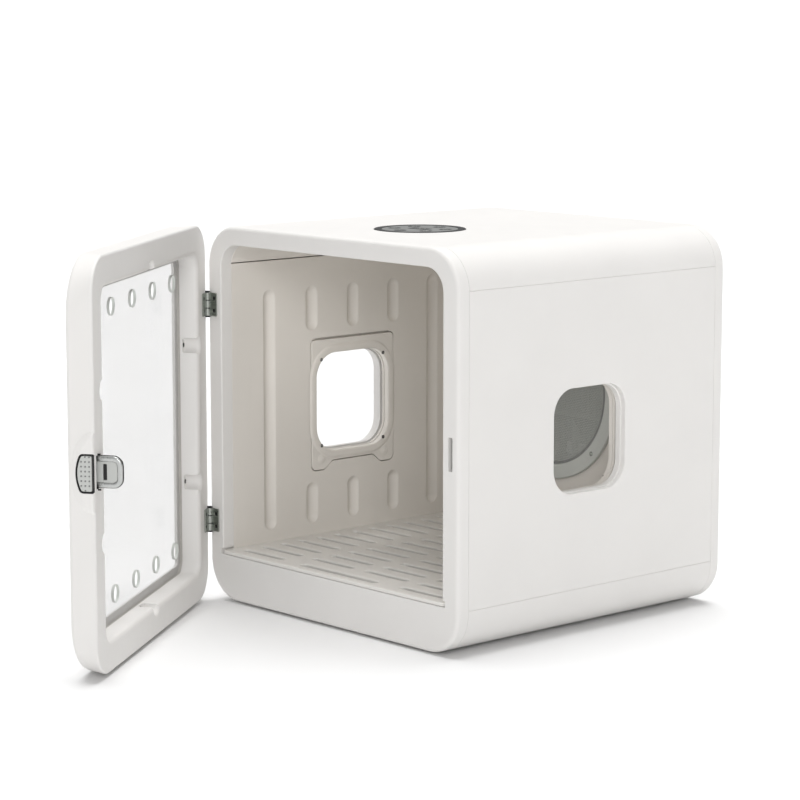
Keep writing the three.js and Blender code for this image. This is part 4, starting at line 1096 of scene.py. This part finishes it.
def door_frame():
    """The door's deep ring, with the latch's pad and pocket and half-round scoops to the screws."""
    seat = DOOR_IN_Y - PANE_DEPTH + 0.3
    outer = fillet(3, DOOR_IN_Y, -1, 6)
    wall = [(0, DOOR_IN_Y - 3 - (DOOR_THICK - 8) * i / 28) for i in range(1, 28)]
    rim = fillet(ROUND, DOOR_OUT_Y, 1, 8)[::-1][:-2]
    outer += wall + rim + [(4.05, rim[-1][1] - 0.1), (4.05, seat)]
    inner = fillet(MOUTH_ROUND, DOOR_IN_Y, -1, 9) + [(0, seat)]
    mesh = moulded([door_outline, opening_outline(0)], [outer, inner], along_y)
    for vertex in mesh.vertices:
        x, y, z = vertex.co / MM
        if x > FREE_X - 3.2:
            vertex.co.x += pad_swell(y, z) * MM * smooth((x - FREE_X + 3.2) / 3.2)
    flare = [(SCOOP_R + d, w) for d, w in fillet(5, DOOR_IN_Y, -1, 7)]
    profile = [(0, DOOR_IN_Y + 1), (SCOOP_R + 6, DOOR_IN_Y + 1)] + flare
    profile += [(SCOOP_R, seat + 4.5), (SCOOP_R - 1.5, seat + 3), (0, seat + 3)]
    scoops = [lathe(profile, at, along_y, 48) for at, _ in scoop_places()]
    pocket = plate([latch_outline(2.1)], HOOK_X - 8, FREE_X + 8, 0, along_x())
    way_z = grown((LATCH_Z, LATCH_Z), 17.9)
    way_out = block((HOOK_X - 8, HOOK_X + 7), (DOOR_IN_Y - 5, DOOR_IN_Y + 4), way_z)
    mesh = carved(mesh, *scoops, pocket, way_out, *hinge_hollows())
    door_piece("door_ring", mesh, "shell_white", ["door_frame"], bevel=0.3)
    toward = lambda u, v, w: (u, seat + 3.1 + w, v)
    spots = [(at[0] + out[0] * 4.5, at[1] + out[1] * 4.5) for at, out in scoop_places()]
    heads = [cross_screw(at, toward, 2.8, 0.4, 0.6) for at in spots]
    door_piece("door_scoop_screws", together(*heads), "black_plastic")


def scoop_places():
    """Where each scoop is on the opening's edge, and the direction from the opening into the frame."""
    (x0, x1), (z0, z1) = DOOR_OPENING_X, DOOR_OPENING_Z
    centre = middle((x0, x1))
    places = [((centre, z0), (0, -1)), ((centre, z1), (0, 1))]
    for z in SCOOP_Z:
        places += [((x0, z), (-1, 0)), ((x1, z), (1, 0))]
    return places


def door_front_ring():
    """The door's outer face: a ring that clamps the pane, with a soft bead round the opening."""
    back = DOOR_IN_Y - PANE_DEPTH - PANE_THICK - 0.3
    outside = [(4.3, back), (4.3, DOOR_OUT_Y + 0.5), (4.9, DOOR_OUT_Y + 0.12), (5.6, DOOR_OUT_Y)]
    inside = [(d - RING_LIP, w) for d, w in [(0, back)] + fillet(2.4, DOOR_OUT_Y, 1, 5)[::-1]]
    mesh = moulded([door_outline, opening_outline(0)], [outside, inside], along_y)
    door_piece("door_face_ring", mesh, "shell_white", ["door_front_ring"])


def opening_outline(by):
    """The door's opening, grown by a distance."""
    return round_rect(grown(DOOR_OPENING_X, by), grown(DOOR_OPENING_Z, by), DOOR_OPENING_R + by, 12)


def door_pane():
    """The clear sheet with two rows of round breathing holes, the pale band round its edge, and grey rings of
    painted shade round the holes' edges.
    """
    y = (DOOR_IN_Y - PANE_DEPTH - PANE_THICK, DOOR_IN_Y - PANE_DEPTH)
    places = [(i * 78, z) for i in range(-2, 3) for z in (66, 385)]
    holes = [circle(at, 10, 48) for at in places]
    sheet = plate([opening_outline(0.9)] + holes, *y, 0.5, along_y, 3)
    door_piece("door_sheet", sheet, "clear_pane", ["door_pane"], look="door_sheet")
    band = plate([opening_outline(4.5), opening_outline(1.1)], y[0] - 0.2, y[1] + 0.2, 0, along_y)
    door_piece("door_pane_band", band, "liner_white")
    # grey rings over each hole's cut edge on both faces: painted shade that outlines the holes
    rim = ring_profile(9.6, 10.15, y[0] - 0.1, y[1] + 0.1, 0.2, 2)
    rims = [lathe(rim, at, along_y, 48) for at in places]
    door_piece("door_vent_rims", together(*rims), "vent_grey")


# ---- latch ----
def latch_outline(grow):
    """The paddle from the side, in (y, z): its bowed side faces out and its straight side the cabinet."""
    y0, y1 = grown(PADDLE_Y, grow)
    z0, z1 = grown(PADDLE_Z, grow)
    r, bow, small = 3.4 + grow, 3.6, 1.2
    half = (z1 - z0) / 2 - r * 0.66
    side = [(y0 + bow * t * t, LATCH_Z + half * t) for t in (1 - i / 10 for i in range(1, 20))]
    top = arc((y0 + bow + r * 0.94, z1 - r), r, 90, 160, 6)
    low = arc((y0 + bow + r * 0.94, z0 + r), r, 200, 270, 6)
    return [(y1, z0 + small), (y1, z1 - small), (y1 - small, z1)] + top + side + low + [(y1 - small, z0)]


def latch():
    """Black cup, grey dimpled paddle with painted shade as dark dots in its dimples, plated hook with its plate,
    and the two small nibs beside it.
    """
    rim_x = FREE_X + PAD_PROUD - 0.9
    wall = [(0.2, rim_x), (0, rim_x - 0.2), (0, HOOK_X - 6)]
    cup = moulded([latch_outline(2.0), latch_outline(0.85)], [wall] * 2, along_x())
    floor = plate([latch_outline(1.0)], HOOK_X - 7, HOOK_X - 5, 0, along_x())
    back = plate([latch_outline(-1.5)], HOOK_X + 4.5, FREE_X - 2.4, 0.4, along_x())
    exit_z = grown((LATCH_Z, LATCH_Z), 17.8)
    exit_cut = block((HOOK_X - 20, HOOK_X + 6.8), (DOOR_IN_Y - 5, DOOR_IN_Y + 3), exit_z)
    door_piece("latch_cup", together(carved(cup, exit_cut), floor), "black_plastic", ["latch_bezel"])
    face_x = (FREE_X - 1.5, FREE_X + PAD_PROUD + 0.1)
    paddle = moulded([latch_outline(0)], [fillet(1.3, face_x[1], -1, 5) + [(0, face_x[0])]], along_x())
    dimples, dimple_shade = [], []
    columns = (4.6, 9.0, 13.4)
    for row in range(8):
        for column in {0: (1,), 7: (1, 2)}.get(row, (0, 1, 2)):
            at = (PADDLE_Y[0] + columns[column], LATCH_Z + (row - 3.5) * 5.1)
            out = lambda u, v, w: (face_x[1] + w, u, v)
            dimples.append(lathe([(0, 0.6), (1.15, 0.4), (1.05, -0.5), (0, -0.6)], at, out, 14))
            # dark discs at the bottom of each dimple: painted shade in the hollows
            dimple_shade.append(lathe([(0, -0.3), (0.9, -0.35), (0.9, -0.55), (0, -0.55)], at, out, 14))
    grip = carved(paddle, *dimples)
    door_piece("latch_grip", grip, "latch_grey", ["latch_paddle"], body="latch", bevel=0.12)
    door_piece("latch_grip_dots", together(*dimple_shade), "panel_grey", body="latch")
    door_piece("latch_rocker", back, "black_plastic", body="latch")
    hook()


def hook():
    """A plated loop of flattened bar with a dark band just behind it, painted shade that outlines the bar, round a
    thin plate with a slot.
    """
    half_z, bend = 13.9, 7.5
    start = DOOR_IN_Y - 5
    end = DOOR_IN_Y + HOOK_REACH - 3.2
    top = [(HOOK_X, start + (end - bend - start) * i / 6, LATCH_Z + half_z) for i in range(7)]
    corner = [(HOOK_X, u, v) for u, v in arc((end - bend, LATCH_Z + half_z - bend), bend, 90, 0, 8)][1:]
    lower = [(x, y, 2 * LATCH_Z - z) for x, y, z in (top + corner)][::-1]
    section = []
    for i in range(20):
        a = 2 * math.pi * i / 20
        c, s = math.cos(a), math.sin(a)
        section.append((3.1 * math.copysign(abs(c) ** 0.75, c), 2.0 * math.copysign(abs(s) ** 0.75, s)))
    path = top + corner + lower
    loop = sweep(path, section, (1, 0, 0))
    door_piece("hook_loop", loop, "chrome", ["latch_hook"], body="latch", crease=60)
    # a dark band a little wider than the bar: painted shade that draws a dark outline round the plated loop
    shade_outline = sweep(path, [(u * 1.2, -1.5 + v * 0.3) for u, v in section], (1, 0, 0))
    door_piece("hook_sleeve", shade_outline, "black_plastic", body="latch", crease=60)
    plate_y = (DOOR_IN_Y - 3.5, end - 1.5)
    slot = round_rect((DOOR_IN_Y + 5.4, DOOR_IN_Y + 9.6), (LATCH_Z - 8.6, LATCH_Z + 8.6), 0.8, 4)
    outline = round_rect(plate_y, (LATCH_Z - 12.5, LATCH_Z + 12.5), 1, 3)
    web = plate([outline, slot], HOOK_X - 0.9, HOOK_X + 0.9, 0.3, along_x(), 2)
    door_piece("hook_web", web, "latch_grey", body="latch")
    back = plate([inset(slot, -1)], HOOK_X - 1.3, HOOK_X - 0.95, 0, along_x())
    door_piece("hook_slot_shade", back, "black_plastic", body="latch")
    nibs = []
    for s in (-1, 1):
        at = (HOOK_X + 1.5, LATCH_Z + s * 18.9)
        nibs.append(lathe(disc_profile(0.9, DOOR_IN_Y - 2.5, DOOR_IN_Y + 3.4, 0.7, 4), at, along_y, 20))
    door_piece("latch_nibs", together(*nibs), "black_plastic", crease=60)


# ---- hinges ----
HINGE_LONG = 28
KNUCKLE = HINGE_LONG / 3
HINGE_R = 4.5


def hinges():
    """Three-knuckle butt hinges: rolled barrels, thin leaves with sunk screws, and pins with dark caps and dark
    washers between the knuckles that paint the shade of their gaps.
    """
    names = ["lower", "upper"]
    for name, z in zip(names, HINGE_Z):
        low = z - HINGE_LONG / 2
        knuckles = []
        for k in range(3):
            start = low + k * KNUCKLE
            barrel = ring_profile(1.75, HINGE_R, start + 0.3, start + KNUCKLE - 0.3, 0.5, 3)
            knuckles.append(about_hinge(barrel))
        cabinet_y = (FRONT_Y - 1.6, FRONT_Y - 0.1)
        door_y = (DOOR_IN_Y + 0.1, DOOR_IN_Y + 1.6)
        fixed = together(leaf(z, cabinet_y, [1]), knuckles[1])
        piece(name + "_cabinet_leaf", fixed, "steel", [name + "_hinge_cabinet_leaf"])
        swung = together(leaf(z, door_y, [0, 2]), knuckles[0], knuckles[2])
        door_piece(name + "_door_leaf", swung, "steel", [name + "_hinge_door_leaf"])
        ends = grown((z, z), HINGE_LONG / 2 + 0.2)
        shaft = about_hinge(disc_profile(1.6, *ends, 0.2, 2), 24)
        joints = [low + k * KNUCKLE for k in (1, 2)]
        # black washers in the gaps between knuckles, wider than the barrels: painted shade of the gaps
        gaps = [ring_profile(1.7, HINGE_R + 0.35, at - 0.28, at + 0.28, 0.1, 2) for at in joints]
        gap_shade_washers = [about_hinge(gap) for gap in gaps]
        spans = [sorted((e, e + s * 1.5)) for e, s in zip(ends, (-1, 1))]
        caps = [about_hinge(disc_profile(3.3, *at, 0.7, 4), 32) for at in spans]
        pin = together(shaft, *caps, *gap_shade_washers)
        piece(name + "_pin_and_caps", pin, "black_plastic", [name + "_hinge_pin"])
        hinge_screws(name, z, cabinet_y[0], door_y[1])


def leaf(z, y, knuckles):
    """A leaf with two countersunk holes, and the webs that roll into its knuckles."""
    x = (-212, -199.5)
    holes = [circle((-204.5, z + d), 2.5, 24) for d in (-7.5, 7.5)]
    outline = round_rect(x, grown((z, z), HINGE_LONG / 2), 1.2, 5)
    sheet = plate([outline] + holes, *y, 0.35, along_y, 3)
    webs = []
    for k in knuckles:
        low = z - HINGE_LONG / 2 + k * KNUCKLE + 0.3
        high = low + KNUCKLE - 0.6
        web = [(HINGE_X + 1, low), (x[0] + 1, low), (x[0] + 1, high), (HINGE_X + 1, high)]
        webs.append(plate([web], *y, 0.2, along_y, 2))
    return together(sheet, *webs)


def hinge_screws(name, z, cabinet_face, door_face):
    """Two screws in each leaf, those of the door's leaf facing the other way."""
    out = lambda u, v, w: (u, cabinet_face + 0.55 - w, v)
    back = lambda u, v, w: (u, door_face - 0.55 + w, v)
    for letter, d in (("a", 7.5), ("b", -7.5)):
        at = (-204.5, z + d)
        for word, make, toward in (("cabinet", piece, out), ("door", door_piece, back)):
            screw = cross_screw(at, toward, 2.3, 1.2, 0.3)
            node = f"{name}_{word}_leaf_screw_{letter}"
            make(f"{name}_{word}_screw_{letter}", screw, "black_plastic", [node])


# ---- studio ----
def camera():
    """The viewing angle: to the right of the front, a little above."""
    azimuth, elevation = math.radians(47.86), math.radians(8.60)
    lens = bpy.data.cameras.new("camera")
    lens.lens = 123.25
    lens.sensor_width = 36
    thing = bpy.data.objects.new("camera", lens)
    level = math.cos(elevation)
    forward = Vector((-math.sin(azimuth) * level, math.cos(azimuth) * level, -math.sin(elevation)))
    thing.location = (2.3407, -2.2212, 0.7293)
    thing.rotation_euler = forward.to_track_quat("-Z", "Y").to_euler()
    lens.clip_end = 10000
    bpy.context.scene.collection.objects.link(thing)
    bpy.context.scene.camera = thing


def sun_lamp(name, energy, spread, turn):
    """A broad sun; its spread and its turn about X, Y and Z are in degrees."""
    light = bpy.data.lights.new(name, "SUN")
    light.energy = energy
    light.angle = math.radians(spread)
    lamp = bpy.data.objects.new(name, light)
    lamp.rotation_euler = [math.radians(a) for a in (*turn, 0)[:3]]
    bpy.context.scene.collection.objects.link(lamp)


def cabin_light():
    """A small soft light inside the doorway that shines on the cabin's far end."""
    light = bpy.data.lights.new("cabin_light", "AREA")
    light.shape = "RECTANGLE"
    light.size, light.size_y = 0.2, 0.12
    light.energy = 0.06
    lamp = bpy.data.objects.new("cabin_light", light)
    lamp.location = Vector((20, FRONT_Y + 35, OUTLET_Z + 90)) * MM
    lamp.rotation_euler = (math.radians(84), 0, 0)
    lamp.visible_camera = False
    bpy.context.scene.collection.objects.link(lamp)


def studio():
    """A wide pale floor, an even sky, a key light from above and a fill light from the front."""
    mesh = bpy.data.meshes.new("floor")
    far = 4000
    mesh.from_pydata([(-far, -far, 0), (far, -far, 0), (far, far, 0), (-far, far, 0)], [], [(0, 1, 2, 3)])
    floor = bpy.data.objects.new("floor", mesh)
    floor.location.z = FLOOR_Z * MM
    bpy.context.scene.collection.objects.link(floor)
    made, tree, shader, place = new_material("studio_floor")
    clouds = ramp(tree, noise(tree, place, 2, 2), [(0.2, 0.87), (0.8, 0.89)])
    tree.links.new(clouds, shader.inputs["Base Color"])
    shader.inputs["Roughness"].default_value = 0.9
    shader.inputs["Specular IOR Level"].default_value = 0.1
    mesh.materials.append(made)
    world = bpy.data.worlds.new("sky")
    world.use_nodes = True
    sky = world.node_tree.nodes["Background"]
    sky.inputs["Color"].default_value = (1.0, 1.0, 1.0, 1)
    sky.inputs["Strength"].default_value = 0.36
    bpy.context.scene.world = world
    sun_lamp("key_sun", 2.85, 55, (-6, -7))
    sun_lamp("fill_sun", 0.8, 24, (70, 0, 49))
    cabin_light()
    bpy.context.scene.view_settings.view_transform = "Standard"


camera()
studio()
dress_cad_nodes()
front_frame()
top_cover()
base_shell()
feet()
side_panels()
rear_cover()
side_liners()
window_trims()
window_panes()
upper_liner()
floor_grate()
outlet()
control_panel()
intake()
rear_screws()
power_inlet()
door_frame()
door_front_ring()
door_pane()
latch()
hinges()
